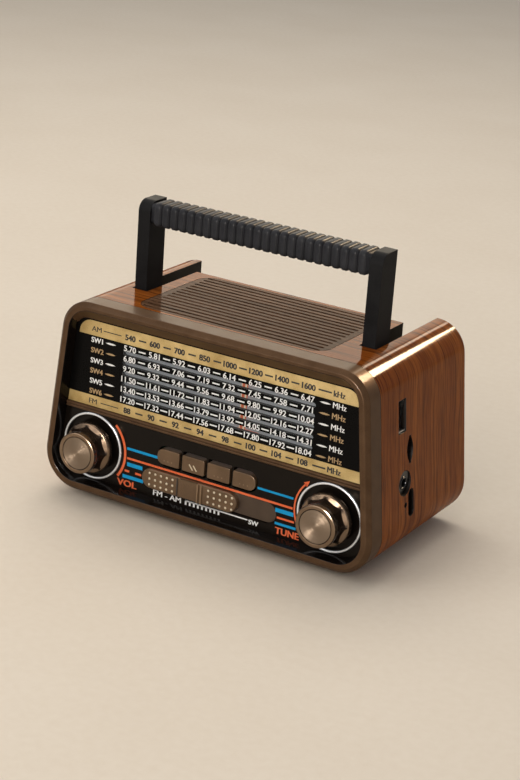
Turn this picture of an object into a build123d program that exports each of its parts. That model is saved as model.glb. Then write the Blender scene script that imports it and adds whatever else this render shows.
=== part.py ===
from build123d import *
import os

# Tabletop radio with a wood cabinet, a printed dial, two knobs and a folding handle.
# Millimetres, Z up, X to the right of the front, Y to the back, origin on the floor under the middle.

# Cabinet
cabinet_bottom_width = 168.5
cabinet_top_width = 148.8
cabinet_height = 88.0
cabinet_depth = 83.0
cabinet_wall = 4.0
top_corner_radius = 14.0
bottom_corner_radius = 16.0
foot_height = 3.7
foot_radius = 6.0
foot_inset_x = 25.0
foot_inset_y = 13.0

# Front bezel
bezel_depth = 5.8
bezel_skirt = 5.1
bezel_chamfer = 1.9
bezel_front_inset = 4.4
bezel_back_inset = 5.3
bezel_top_front_inset = 3.4
bezel_top_back_inset = 8.8
bezel_bottom_back_inset = 5.8

# Dial and control panel, heights above the cabinet's underside
panel_thickness = 2.0
split_height = 38.2
divider_height = 2.5
divider_proud = 1.2
window_length = 95.6
window_height = 2.2
window_thickness = 0.8
window_pitch = 4.68
window_count = 5
window_top_height = 67.78
window_centre_x = 1.4

# Dial pointer drive
pointer_x = 13.5
pointer_margin = 2.4
pointer_width = 2.6
pointer_thickness = 1.0
pointer_foot_width = 8.0
pointer_foot_drop = 3.0
pointer_foot_rise = 2.2
pointer_run_height = 44.0
cord_radius = 0.4
cord_depth = 6.0
guide_radius = 2.5
left_guide_radius = 3.0
left_guide_inset = 8.0
drum_radius = 8.0
drum_flange = 1.0
drum_width = 4.6
rail_radius = 0.8
rail_depth = 9.2
rail_height = 42.7
rail_block = 4.4
rail_cover = 2.0
chassis_plate = 1.5
chassis_margin = 2.0
chassis_depth = 11.5
chassis_post_inset_x = 7.0
chassis_post_inset_z = 4.0
backing_height = 23.5
backing_gap = 2.6
backing_inset = 3.0
shelf_rise = 3.0

# Knobs
knob_height = 21.2
knob_reach = 12.3
knob_face_radius = 9.7
knob_waist_radius = 8.4
knob_flange_radius = 12.2
knob_gap = 0.6
knob_rim = 1.4
knob_face_sink = 0.5
knob_edge = 0.4
knob_head = 2.4
knob_neck = 0.8
knob_flange_start = 1.4
knob_flange_end = 3.6
knob_flange_bevel = 0.8
knob_bore_wall = 4.0
flute_count = 12
flute_radius = 2.5
ring_radius = 14.9
ring_width = 1.0
ring_proud = 0.8
ring_edge_gap = 1.18
well_depth = 1.0
shaft_radius = 3.0

# Push buttons and band slider
button_count = 4
button_width = 11.3
button_height = 9.0
button_pitch = 12.8
button_row_x = -0.5
button_row_height = 26.3
button_end_radius = 4.3
button_corner = 0.8
button_proud = 2.2
button_travel = 1.2
slider_slot_length = 67.4
slider_slot_x = 1.05
slider_row_height = 14.8
slider_height = 9.0
slider_length = 48.6
slider_proud = 2.0
slider_bed_sink = 0.6
slider_window = 9.0
dot_column_count = 5
dot_row_count = 3
dot_column_pitch = 2.8
dot_row_pitch = 2.6
dot_radius = 0.45
dot_offset = 15.1

# Folding handle
handle_rise = 39.9
handle_depth = 12.6
handle_bar = 9.6
handle_front = 27.0
leg_inner = 54.0
leg_width = 6.1
handle_front_round = 5.0
pin_radius = 2.0
rib_count = 25
rib_pitch = 4.2
rib_width = 3.2
rib_depth = 0.9
rib_bevel = 2.4
grip_wall = 1.2

# Handle well and speaker grille in the cabinet's top
well_side_gap = 1.0
well_end_gap = 0.7
well_wall = 2.0
deck_back = 66.5
grille_width = 93.4
grille_front = 6.7
grille_length = 57.5
grille_corner = 8.0
grille_thickness = 2.5
grille_ledge = 1.2
slot_count = 15
slot_pitch = 3.7
slot_width = 1.6
slot_margin = 3.0

# Speaker
speaker_radius = 28.5
speaker_depth = 26.0
magnet_radius = 16.0
magnet_height = 9.0
baffle_thickness = 2.0
cone_radius = 24.0

# Rear cover, battery and antenna
cover_thickness = 3.0
cover_sink = 1.0
boss_radius = 4.0
boss_length = 14.0
screw_radius = 1.4
screw_head_radius = 2.6
door_width = 64.0
door_height = 40.0
door_low = 8.0
door_thickness = 2.0
door_pin_radius = 0.7
door_pin_length = 1.5
battery_width = 53.0
battery_height = 34.0
battery_thickness = 5.6
battery_clearance = 0.8
antenna_side_gap = 19.9
antenna_height = 62.8
antenna_radius = 2.75
antenna_step = 0.7
antenna_length = 122.0
antenna_knuckle_radius = 4.5
antenna_pin_radius = 1.5

# Boards and sockets
board_thickness = 1.6
board_depth = 17.0
board_low = 5.5
board_high = 30.6
board_side_gap = 9.0
board_post_x = 41.0
board_post_radius = 2.5
control_radius = 8.0
control_length = 7.0
port_board_gap = 17.0
port_board_back = 42.0
port_board_low_margin = 1.5
port_board_high_margin = 0.5
usb_depth = 23.85
usb_above_card = 16.1
usb_length = 13.8
usb_width = 6.2
card_depth = 30.6
card_height = 47.3
card_length = 12.2
card_slit = 1.8
card_notch = 5.6
aux_depth = 25.7
aux_below_card = 13.5
aux_radius = 5.2
aux_bore = 1.8
dc_depth = 31.2
dc_below_aux = 10.0
dc_length = 11.5
dc_width = 4.5
led_depth = 26.3
led_above_dc = 0.2
led_radius = 0.9

# Ferrite rod antenna
ferrite_radius = 4.0
ferrite_length = 90.0
ferrite_depth = 56.0
ferrite_height = 15.0
coil_wall = 1.2
coil_length = 26.0

# Clearances
seat_gap = 0.3
button_gap = 0.35
running_fit = 0.05
pin_fit = 0.02
turning_gap = 0.5

# Derived places
z_bottom = foot_height
z_top = foot_height + cabinet_height
antenna_axis_depth = cabinet_depth + turning_gap + antenna_radius
antenna_knuckle_half = antenna_radius - running_fit
panel_y = (knob_reach - antenna_axis_depth - antenna_radius) / 2
side_slope = (cabinet_bottom_width - cabinet_top_width) / 2 / cabinet_height
usb_height = card_height + usb_above_card
aux_height = card_height - aux_below_card
dc_height = aux_height - dc_below_aux
led_height = dc_height + led_above_dc
port_board_low = dc_height - dc_length / 2 - port_board_low_margin
port_board_high = usb_height + usb_length / 2 + port_board_high_margin


def depth(behind):
    """Y of a point that lies behind the panel's front face by the given amount."""
    return panel_y + behind


def height(above):
    """Z of a point above the cabinet's underside."""
    return z_bottom + above


def half_width(z):
    """Half width of the cabinet's sloping sides at height z, before the corners are rounded."""
    return cabinet_bottom_width / 2 - side_slope * (z - z_bottom)


def front_plane(y):
    """Upright plane that faces the front, with X to the right and Z up."""
    return Plane(origin=(0, y, 0), x_dir=(1, 0, 0), z_dir=(0, -1, 0))


def side_plane(x):
    """Upright plane that faces the right, with Y to the right of it and Z up."""
    return Plane(origin=(x, 0, 0), x_dir=(0, 1, 0), z_dir=(1, 0, 0))


def cabinet_outline(side, top, bottom):
    """Rounded trapezoid of the cabinet's front view, drawn in by the given amounts."""
    low = z_bottom + bottom
    high = z_top - top
    Polygon(
        (-half_width(low) + side, low),
        (half_width(low) - side, low),
        (half_width(high) - side, high),
        (-half_width(high) + side, high),
        align=None,
    )
    fillet(vertices().group_by(Axis.Y)[-1], top_corner_radius - top)
    fillet(vertices().group_by(Axis.Y)[0], bottom_corner_radius - bottom)


def finish(piece, name):
    """Labels a finished piece and writes it."""
    piece.part.label = name
    export_step(piece.part, f"parts/{name}.step")


os.makedirs("parts", exist_ok=True)

# Handle well, shared by the cabinet, the rear cover and the handle
pivot_y = depth(handle_front + handle_depth / 2)
pivot_z = z_top - handle_depth / 2
well_half_width = leg_inner + leg_width + well_side_gap
deck_half_width = leg_inner - well_side_gap
well_front = depth(handle_front) - well_end_gap
well_floor = z_top - handle_depth - well_end_gap
well_under = well_floor - well_wall - seat_gap
cabinet_front = depth(bezel_skirt)
cabinet_back = depth(cabinet_depth)
deck_end = depth(deck_back)


def well_outline(grow, back):
    """U-shaped plan of the well: two leg channels joined by a channel behind the deck."""
    front = well_front - grow
    inner_end = deck_end - grow
    with Locations((0, (front + back) / 2)):
        Rectangle(2 * (well_half_width + grow), back - front)
    with Locations((0, (front + inner_end) / 2)):
        Rectangle(2 * (deck_half_width - grow), inner_end - front, mode=Mode.SUBTRACT)


# Screw bosses for the rear cover, one in each corner of the cabinet
boss_bite = 0.8
boss_low = height(bottom_corner_radius)
boss_high = well_floor - well_wall - boss_radius
boss_centres = [
    (side * (half_width(z) - cabinet_wall - boss_radius + boss_bite), z)
    for side in (-1, 1)
    for z in (boss_low, boss_high)
]
cover_back = cabinet_back - cover_sink
cover_front = cover_back - cover_thickness

# Port board posts on the right wall
port_post_radius = 2.5
port_post_y = depth(port_board_back) - port_post_radius - board_thickness
port_post_heights = (height(port_board_low) + 2 * port_post_radius, well_under - 2 * port_post_radius)
port_board_x = half_width(height(card_height)) - port_board_gap
port_board_face = port_board_x + board_thickness

grille_y = depth(grille_front + grille_length / 2)
deck_under = z_top - cabinet_wall
port_cut_start = port_board_face + cabinet_wall
port_cut_reach = cabinet_bottom_width / 2 - port_cut_start + cabinet_wall

# Wood cabinet: a sleeve with sloping sides, the handle well sunk in its top and the ports on its right
with BuildPart() as cabinet_shell:
    with BuildSketch(front_plane(cabinet_front)):
        cabinet_outline(0, 0, 0)
    extrude(amount=cabinet_front - cabinet_back)
    with BuildSketch(front_plane(cabinet_front)):
        cabinet_outline(cabinet_wall, cabinet_wall, cabinet_wall)
    extrude(amount=cabinet_front - cabinet_back, mode=Mode.SUBTRACT)
    with BuildSketch(Plane.XY.offset(well_floor - well_wall)):
        well_outline(well_wall, cabinet_back)
    extrude(amount=handle_depth + well_end_gap + well_wall - cabinet_wall / 2)
    with BuildSketch(Plane.XY.offset(well_floor)):
        well_outline(0, cabinet_back + well_end_gap)
    extrude(amount=2 * handle_depth, mode=Mode.SUBTRACT)
    with BuildSketch(Plane.XY.offset(z_top)):
        with Locations((0, grille_y)):
            RectangleRounded(grille_width, grille_length, grille_corner)
    extrude(amount=-grille_thickness, mode=Mode.SUBTRACT)
    with BuildSketch(Plane.XY.offset(z_top)):
        with Locations((0, grille_y)):
            RectangleRounded(
                grille_width - 2 * grille_ledge,
                grille_length - 2 * grille_ledge,
                grille_corner - grille_ledge,
            )
    extrude(amount=-2 * cabinet_wall, mode=Mode.SUBTRACT)
    with BuildSketch(front_plane(cover_front)):
        with Locations(*boss_centres):
            Circle(boss_radius)
    extrude(amount=boss_length)
    with BuildSketch(front_plane(cover_front)):
        with Locations(*boss_centres):
            Circle(screw_radius + running_fit)
    extrude(amount=boss_length - cabinet_wall, mode=Mode.SUBTRACT)
    for side in (-1, 1):
        with BuildSketch(side_plane(side * (deck_half_width - well_wall - seat_gap))):
            with Locations((pivot_y, pivot_z)):
                Circle(pin_radius + pin_fit)
        extrude(amount=side * (leg_width + 2 * (well_side_gap + well_wall + seat_gap)), mode=Mode.SUBTRACT)
    for post_z in port_post_heights:
        with BuildSketch(side_plane(port_board_face)):
            with Locations((port_post_y, post_z)):
                Circle(port_post_radius)
        extrude(amount=half_width(post_z) - cabinet_wall / 2 - port_board_face)
    with BuildSketch(side_plane(port_cut_start)):
        with Locations((depth(usb_depth), height(usb_height))):
            Rectangle(usb_width + 2 * seat_gap, usb_length + 2 * seat_gap)
        with Locations((depth(card_depth), height(card_height))):
            Rectangle(card_slit, card_length)
        with Locations((depth(aux_depth), height(aux_height))):
            Circle(aux_radius + seat_gap)
        with Locations((depth(dc_depth), height(dc_height))):
            RectangleRounded(dc_width + 2 * seat_gap, dc_length + 2 * seat_gap, dc_width / 2)
        with Locations((depth(led_depth), height(led_height))):
            Circle(led_radius + seat_gap)
    extrude(amount=port_cut_reach, mode=Mode.SUBTRACT)
    card_arc = (card_length**2 / 4 + card_notch**2 / 4) / card_notch
    with BuildSketch(side_plane(half_width(height(card_height)) - 0.6 * cabinet_wall)):
        with Locations((depth(card_depth) - card_arc + card_notch / 2, height(card_height))):
            Circle(card_arc)
        with Locations((depth(card_depth) + card_arc - card_notch / 2, height(card_height))):
            Circle(card_arc, mode=Mode.INTERSECT)
    extrude(amount=2 * cabinet_wall, mode=Mode.SUBTRACT)
finish(cabinet_shell, "cabinet_shell")

# Slotted grille panel, set flush in the deck over the speaker
with BuildPart() as speaker_grille:
    with BuildSketch(Plane.XY.offset(z_top)):
        with Locations((0, grille_y)):
            RectangleRounded(
                grille_width - 2 * seat_gap,
                grille_length - 2 * seat_gap,
                grille_corner - seat_gap,
            )
    extrude(amount=-grille_thickness)
    with BuildSketch(Plane.XY.offset(z_top)):
        with Locations((0, grille_y)):
            with GridLocations(0, slot_pitch, 1, slot_count):
                SlotOverall(grille_width - 2 * slot_margin, slot_width)
    extrude(amount=-grille_thickness, mode=Mode.SUBTRACT)
finish(speaker_grille, "speaker_grille")

# Bronze front bezel: bevelled outside, its inner walls sloping back to the dial, with a skirt behind the
# lip that holds the dial and the control panel and ends at the wood
with BuildPart() as front_bezel:
    with BuildSketch(front_plane(cabinet_front)):
        cabinet_outline(0, 0, 0)
    extrude(amount=bezel_skirt + bezel_depth)
    chamfer(faces().sort_by(Axis.Y)[0].edges(), bezel_chamfer)
    with BuildSketch(front_plane(panel_y)):
        cabinet_outline(bezel_back_inset, bezel_top_back_inset, bezel_bottom_back_inset)
    with BuildSketch(front_plane(panel_y - bezel_depth)):
        cabinet_outline(bezel_front_inset, bezel_top_front_inset, bezel_front_inset)
    loft(ruled=True, mode=Mode.SUBTRACT)
    with BuildSketch(front_plane(panel_y)):
        cabinet_outline(cabinet_wall, cabinet_wall, cabinet_wall)
    extrude(amount=-bezel_skirt, mode=Mode.SUBTRACT)
finish(front_bezel, "front_bezel")

# Printed dial plate with five long windows that show the pointer behind it
panel_inset = cabinet_wall + seat_gap
split_z = height(split_height)
window_rows = [height(window_top_height - row * window_pitch) for row in range(window_count)]
with BuildPart() as dial_plate:
    with BuildSketch(front_plane(panel_y)):
        cabinet_outline(panel_inset, panel_inset, panel_inset)
        with Locations((0, split_z + cabinet_height)):
            Rectangle(cabinet_bottom_width, 2 * cabinet_height - seat_gap, mode=Mode.INTERSECT)
        for window_z in window_rows:
            with Locations((window_centre_x, window_z)):
                SlotOverall(window_length, window_height, mode=Mode.SUBTRACT)
    extrude(amount=-panel_thickness)
finish(dial_plate, "dial_plate")

# Clear strips that fill the windows, flush with the plate's face
with BuildPart() as dial_windows:
    with BuildSketch(front_plane(panel_y)):
        for window_z in window_rows:
            with Locations((window_centre_x, window_z)):
                SlotOverall(window_length - 2 * running_fit, window_height - 2 * running_fit)
    extrude(amount=-window_thickness)
finish(dial_windows, "dial_windows")

# Divider strip with two ridges, over the joint of the dial and the control panel
ridge_radius = divider_height / 4
divider_length = 2 * (half_width(split_z) - bezel_back_inset - seat_gap)
with BuildPart() as dial_divider:
    with BuildSketch(side_plane(-divider_length / 2)):
        with Locations((panel_y - (divider_proud - ridge_radius) / 2, split_z)):
            Rectangle(divider_proud - ridge_radius, divider_height)
        with Locations((panel_y - divider_proud + ridge_radius, split_z)):
            with GridLocations(0, 2 * ridge_radius, 1, 2):
                Circle(ridge_radius)
        with Locations((panel_y + divider_height, split_z)):
            Rectangle(2 * divider_height, 2 * divider_height, mode=Mode.SUBTRACT)
    extrude(amount=divider_length)
finish(dial_divider, "dial_divider")

# Control panel with wells for the knobs, holes for the buttons and a slot for the band slider
knob_z = height(knob_height)
knob_x = half_width(knob_z) - bezel_back_inset - ring_radius - ring_width / 2 - ring_edge_gap
button_z = height(button_row_height)
button_first = button_row_x - button_pitch * (button_count - 1) / 2
button_xs = [button_first + button_pitch * number for number in range(button_count)]
slider_z = height(slider_row_height)
board_y = depth(board_depth)
post_heights = (height(board_low) + board_post_radius / 2, height(board_high) - 2 * board_post_radius)


def button_outline(number, grow):
    """Front view of a button: the first and the last have a round outer end."""
    with Locations((button_xs[number], button_z)):
        Rectangle(button_width + 2 * grow, button_height + 2 * grow)
    left_radius = button_end_radius if number == 0 else button_corner
    right_radius = button_end_radius if number == button_count - 1 else button_corner
    fillet(vertices().group_by(Axis.X)[-1], right_radius)
    fillet(vertices().group_by(Axis.X)[0], left_radius)


with BuildPart() as control_panel:
    with BuildSketch(front_plane(panel_y)):
        cabinet_outline(panel_inset, panel_inset, panel_inset)
        with Locations((0, split_z - cabinet_height)):
            Rectangle(cabinet_bottom_width, 2 * cabinet_height - seat_gap, mode=Mode.INTERSECT)
    extrude(amount=-panel_thickness)
    with BuildSketch(front_plane(panel_y)):
        with Locations((-knob_x, knob_z), (knob_x, knob_z)):
            Circle(ring_radius - ring_width)
    extrude(amount=-well_depth, mode=Mode.SUBTRACT)
    with BuildSketch(front_plane(panel_y)):
        with Locations((-knob_x, knob_z), (knob_x, knob_z)):
            Circle(shaft_radius + turning_gap)
        with Locations((slider_slot_x, slider_z)):
            SlotOverall(slider_slot_length, slider_height + 2 * button_gap)
    extrude(amount=-panel_thickness, mode=Mode.SUBTRACT)
    for number in range(button_count):
        with BuildSketch(front_plane(panel_y)):
            button_outline(number, button_gap)
        extrude(amount=-panel_thickness, mode=Mode.SUBTRACT)
    with BuildSketch(front_plane(depth(panel_thickness))):
        for post_z in post_heights:
            with Locations((-board_post_x, post_z), (board_post_x, post_z)):
                Circle(board_post_radius)
    extrude(amount=panel_thickness - board_depth)
finish(control_panel, "control_panel")

# Four push buttons, each with a flange behind the panel and a stem towards its switch
button_names = ("mode_button", "back_button", "play_button", "forward_button")
flange_front = depth(panel_thickness) + running_fit
flange_grow = 0.6
stem_side = 4.0
switch_height = 4.0
switch_face = board_y - switch_height
stem_end = switch_face - button_travel - seat_gap
for number, name in enumerate(button_names):
    with BuildPart() as push_button:
        with BuildSketch(front_plane(flange_front)):
            button_outline(number, 0)
        extrude(amount=flange_front - panel_y + button_proud)
        chamfer(faces().sort_by(Axis.Y)[0].edges(), button_corner / 2)
        with BuildSketch(front_plane(flange_front)):
            with Locations((button_xs[number], button_z)):
                Rectangle(button_width - 2, button_height + 2 * (button_gap + flange_grow))
        extrude(amount=-panel_thickness / 2)
        with BuildSketch(front_plane(flange_front)):
            with Locations((button_xs[number], button_z)):
                Rectangle(stem_side, stem_side)
        extrude(amount=flange_front - stem_end)
    finish(push_button, name)

# Bed of the band slider, with a raised pad in the panel's slot and an opening for the slider's stem
slider_x = slider_slot_x - (slider_slot_length - slider_length) / 2
slider_travel = slider_slot_length - slider_length - 2 * button_gap
bed_front = depth(slider_bed_sink)
bed_plate = 1.2
stem_width = 5.0
stem_height = 2.4
with BuildPart() as slider_bed:
    with BuildSketch(front_plane(bed_front)):
        with Locations((slider_slot_x, slider_z)):
            SlotOverall(slider_slot_length - 2 * seat_gap, slider_height + 2 * (button_gap - seat_gap))
    extrude(amount=bed_front - depth(panel_thickness))
    with BuildSketch(front_plane(depth(panel_thickness))):
        with Locations((slider_slot_x, slider_z)):
            SlotOverall(slider_slot_length + 4 * bed_plate, slider_height + 2 * bed_plate)
    extrude(amount=-bed_plate)
    with BuildSketch(front_plane(bed_front)):
        with Locations((slider_x + button_gap + slider_travel / 2, slider_z)):
            Rectangle(slider_travel + stem_width + 2 * button_gap, stem_height + 2 * button_gap)
    extrude(amount=-2 * panel_thickness, mode=Mode.SUBTRACT)
finish(slider_bed, "slider_bed")

# Band slider: a long cap with a square window in the middle and a stem to the switch behind
band_switch_height = 5.0
with BuildPart() as band_slider:
    with BuildSketch(front_plane(bed_front - running_fit)):
        with Locations((slider_x + button_gap, slider_z)):
            SlotOverall(slider_length, slider_height)
    extrude(amount=slider_proud + slider_bed_sink)
    chamfer(faces().sort_by(Axis.Y)[0].edges(), button_corner / 2)
    with BuildSketch(front_plane(panel_y - slider_proud)):
        with Locations((slider_x + button_gap, slider_z)):
            Rectangle(slider_window, slider_height)
    extrude(amount=-slider_bed_sink, mode=Mode.SUBTRACT)
    with BuildSketch(front_plane(panel_y - slider_proud)):
        for side in (-1, 1):
            with Locations((slider_x + button_gap + side * dot_offset, slider_z)):
                with GridLocations(dot_column_pitch, dot_row_pitch, dot_column_count, dot_row_count):
                    RegularPolygon(dot_radius, 6)
    extrude(amount=seat_gap)
    with BuildSketch(front_plane(bed_front - running_fit)):
        with Locations((slider_x + button_gap, slider_z)):
            Rectangle(stem_width, stem_height)
    extrude(amount=bed_front - running_fit - (board_y - band_switch_height - seat_gap))
finish(band_slider, "band_slider")

# Fluted knobs on their shafts, each inside a bright ring on the panel
shaft_front = depth(knob_bore_wall - knob_reach)
neck_start = knob_reach - knob_head
neck_end = knob_flange_end + knob_flange_bevel
for side, name in ((-1, "volume"), (1, "tuning")):
    axis_point = (side * knob_x, panel_y, knob_z)
    knob_plane = Plane(origin=axis_point, x_dir=(1, 0, 0), z_dir=(0, 0, 1))
    turning_axis = Axis(axis_point, (0, 1, 0))
    with BuildPart() as knob:
        with BuildSketch(knob_plane):
            with BuildLine():
                Polyline(
                    (0, knob_face_sink - knob_reach),
                    (knob_face_radius - knob_rim, knob_face_sink - knob_reach),
                    (knob_face_radius - knob_rim + knob_edge, -knob_reach),
                    (knob_face_radius - knob_edge, -knob_reach),
                    (knob_face_radius, knob_edge - knob_reach),
                    (knob_face_radius, -neck_start),
                    (knob_waist_radius, knob_neck - neck_start),
                    (knob_flange_radius - knob_flange_bevel, -neck_end),
                    (knob_flange_radius, -knob_flange_end),
                    (knob_flange_radius, -knob_flange_start),
                    (knob_flange_radius - knob_flange_bevel, -knob_gap),
                    (0, -knob_gap),
                    close=True,
                )
            make_face()
        revolve(axis=turning_axis)
        with BuildSketch(front_plane(depth(knob_edge - neck_start))):
            with Locations((side * knob_x, knob_z)):
                with PolarLocations(knob_flange_radius, flute_count):
                    Circle(flute_radius)
        extrude(amount=knob_flange_end + 2 * knob_edge - neck_start, mode=Mode.SUBTRACT)
        with BuildSketch(front_plane(shaft_front)):
            with Locations((side * knob_x, knob_z)):
                Circle(shaft_radius + pin_fit)
        extrude(amount=shaft_front - panel_y, mode=Mode.SUBTRACT)
    finish(knob, name + "_knob")
    with BuildPart() as shaft:
        with BuildSketch(front_plane(shaft_front + pin_fit)):
            with Locations((side * knob_x, knob_z)):
                Circle(shaft_radius)
        extrude(amount=shaft_front + pin_fit - (board_y - 2 * seat_gap))
    finish(shaft, name + "_shaft")
    with BuildPart() as ring:
        with BuildSketch(front_plane(panel_y)):
            with Locations((side * knob_x, knob_z)):
                Circle(ring_radius + ring_width / 2)
                Circle(ring_radius - ring_width / 2, mode=Mode.SUBTRACT)
        extrude(amount=ring_proud)
        chamfer(faces().sort_by(Axis.Y)[0].edges(), ring_width / 4)
    finish(ring, name + "_ring")
    with BuildPart() as control:
        with BuildSketch(front_plane(board_y)):
            with Locations((side * knob_x, knob_z)):
                Circle(control_radius)
        extrude(amount=control_length)
        with BuildSketch(front_plane(board_y)):
            with Locations((side * knob_x, knob_z)):
                Circle(shaft_radius + running_fit)
        extrude(amount=control_length, mode=Mode.SUBTRACT)
    finish(control, name + "_control")

# Cord drum on the tuning shaft
drum_front = depth(cord_depth) - drum_width / 2
with BuildPart() as tuning_drum:
    with BuildSketch(Plane(origin=(knob_x, drum_front, knob_z), x_dir=(1, 0, 0), z_dir=(0, 0, 1))):
        with BuildLine():
            groove_half = cord_radius + seat_gap
            Polyline(
                (shaft_radius + pin_fit, 0),
                (drum_radius + drum_flange, 0),
                (drum_radius + drum_flange, drum_width / 2 - groove_half - drum_flange / 2),
                (drum_radius - groove_half, drum_width / 2 - groove_half),
                (drum_radius - groove_half, drum_width / 2 + groove_half),
                (drum_radius + drum_flange, drum_width / 2 + groove_half + drum_flange / 2),
                (drum_radius + drum_flange, drum_width),
                (shaft_radius + pin_fit, drum_width),
                close=True,
            )
        make_face()
    revolve(axis=Axis((knob_x, 0, knob_z), (0, 1, 0)))
finish(tuning_drum, "tuning_drum")

# Dial chassis: the grey backing behind the windows, a shelf, and a plate with posts that guide the cord
run_z = height(pointer_run_height)
return_z = run_z - 2 * left_guide_radius
cord_right = knob_x + drum_radius
cord_left = knob_x - drum_radius
chassis_half_width = cord_right + chassis_margin
backing_width = 2 * (chassis_half_width - backing_inset)
left_guide_x = left_guide_inset - chassis_half_width
guide_centres = (
    (cord_right - guide_radius, run_z - guide_radius, guide_radius),
    (left_guide_x, run_z - left_guide_radius, left_guide_radius),
    (cord_left - guide_radius, return_z - guide_radius, guide_radius),
)
backing_front = depth(panel_thickness + backing_gap)
plate_front = depth(chassis_depth)
shelf_z = run_z + shelf_rise
plate_low = return_z - 2 * guide_radius - chassis_plate
pointer_reach = window_length / 2 - pointer_margin + pointer_foot_width
rail_ends = (window_centre_x - pointer_reach, window_centre_x + pointer_reach)
rail_z = height(rail_height)
with BuildPart() as dial_chassis:
    with BuildSketch(front_plane(backing_front)):
        with Locations((0, shelf_z + backing_height / 2)):
            Rectangle(backing_width, backing_height)
    extrude(amount=-chassis_plate)
    with BuildSketch(front_plane(backing_front)):
        with Locations((0, shelf_z + chassis_plate / 2)):
            Rectangle(backing_width, chassis_plate)
    extrude(amount=backing_front - plate_front - chassis_plate)
    with BuildSketch(front_plane(plate_front)):
        with Locations((0, (plate_low + shelf_z + chassis_plate) / 2)):
            Rectangle(2 * chassis_half_width, shelf_z + chassis_plate - plate_low)
    extrude(amount=-chassis_plate)
    with BuildSketch(front_plane(depth(panel_thickness))):
        with Locations((0, shelf_z + backing_height / 2)):
            post_spacing_x = 2 * (chassis_half_width - chassis_post_inset_x)
            with GridLocations(post_spacing_x, backing_height - 2 * chassis_post_inset_z, 2, 2):
                Circle(board_post_radius)
    extrude(amount=depth(panel_thickness) - backing_front)
    for guide_x, guide_z, radius in guide_centres:
        with BuildSketch(front_plane(plate_front)):
            with Locations((guide_x, guide_z)):
                Circle(radius - cord_radius - pin_fit)
        extrude(amount=plate_front - depth(cord_depth) + 2 * cord_radius + seat_gap)
        with BuildSketch(front_plane(plate_front)):
            with Locations((guide_x, guide_z)):
                Circle(radius + cord_radius + seat_gap)
        extrude(amount=plate_front - depth(cord_depth) - 2 * cord_radius)
    for rail_end in rail_ends:
        with BuildSketch(side_plane(rail_end - chassis_plate / 2)):
            with Locations(((plate_front + depth(rail_depth - rail_cover)) / 2, rail_z)):
                Rectangle(plate_front - depth(rail_depth - rail_cover), rail_block)
            with Locations((depth(rail_depth), rail_z)):
                Circle(rail_radius + pin_fit, mode=Mode.SUBTRACT)
        extrude(amount=chassis_plate)
finish(dial_chassis, "dial_chassis")

# Rail that the pointer's foot runs on
with BuildPart() as pointer_rail:
    with BuildSketch(side_plane(rail_ends[0] - chassis_plate)):
        with Locations((depth(rail_depth), rail_z)):
            Circle(rail_radius)
    extrude(amount=rail_ends[1] - rail_ends[0] + 2 * chassis_plate)
finish(pointer_rail, "pointer_rail")

# Dial pointer: a flat stick behind the windows, on a foot that rides the rail and holds the cord
pointer_front = depth(panel_thickness) + 2 * seat_gap
foot_low = rail_z - pointer_foot_drop
foot_high = run_z + pointer_foot_rise
with BuildPart() as dial_pointer:
    with BuildSketch(front_plane(pointer_front)):
        with Locations((pointer_x, (foot_low + window_rows[0] + window_height) / 2)):
            Rectangle(pointer_width, window_rows[0] + window_height - foot_low)
    extrude(amount=-pointer_thickness)
    with BuildSketch(side_plane(pointer_x - pointer_foot_width / 2)):
        foot_back = depth(rail_depth) + rail_radius + pointer_thickness / 2
        with Locations(((pointer_front + foot_back) / 2, (foot_low + foot_high) / 2)):
            Rectangle(foot_back - pointer_front, foot_high - foot_low)
        with Locations((depth(cord_depth), run_z)):
            Circle(cord_radius + seat_gap, mode=Mode.SUBTRACT)
        with Locations((depth(rail_depth), rail_z)):
            Circle(rail_radius + running_fit, mode=Mode.SUBTRACT)
    extrude(amount=pointer_foot_width)
finish(dial_pointer, "dial_pointer")

# Dial cord: a closed loop over the drum and the three guide posts
with BuildPart() as dial_cord:
    with BuildLine(front_plane(depth(cord_depth))) as cord_route:
        run_right, run_left = guide_centres[0], guide_centres[1]
        turn = guide_centres[2]
        Line((0, run_z), (run_left[0], run_z))
        CenterArc(run_left[:2], left_guide_radius, 90, 180)
        Line((run_left[0], return_z), (turn[0], return_z))
        CenterArc(turn[:2], guide_radius, 90, -90)
        Line((cord_left, turn[1]), (cord_left, knob_z))
        CenterArc((knob_x, knob_z), drum_radius, 180, 180)
        Line((cord_right, knob_z), (cord_right, run_right[1]))
        CenterArc(run_right[:2], guide_radius, 0, 90)
        Line((run_right[0], run_z), (0, run_z))
    with BuildSketch(side_plane(0)):
        with Locations((depth(cord_depth), run_z)):
            RegularPolygon(cord_radius, 6)
    sweep(path=cord_route.wires()[0])
finish(dial_cord, "dial_cord")

# Handle frame: two flat legs, round at the pivot, and the bar between them
handle_top = z_top + handle_rise
bar_z = handle_top - handle_bar / 2
core_depth = handle_depth - 2 * (rib_depth + grip_wall)
core_height = handle_bar - 2 * (rib_depth + grip_wall)
with BuildPart() as handle_frame:
    for side in (-1, 1):
        with BuildSketch(side_plane(side * leg_inner)):
            with Locations((pivot_y, (pivot_z + handle_top) / 2)):
                Rectangle(handle_depth, handle_top - pivot_z)
            fillet(vertices().group_by(Axis.Y)[-1].sort_by(Axis.X)[0], handle_front_round)
            with Locations((pivot_y, pivot_z)):
                Circle(handle_depth / 2)
                Circle(pin_radius + running_fit, mode=Mode.SUBTRACT)
        extrude(amount=side * leg_width)
    with BuildSketch(side_plane(-leg_inner)):
        with Locations((pivot_y, bar_z)):
            Rectangle(core_depth, core_height)
    extrude(amount=2 * leg_inner)
finish(handle_frame, "handle_frame")

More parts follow.
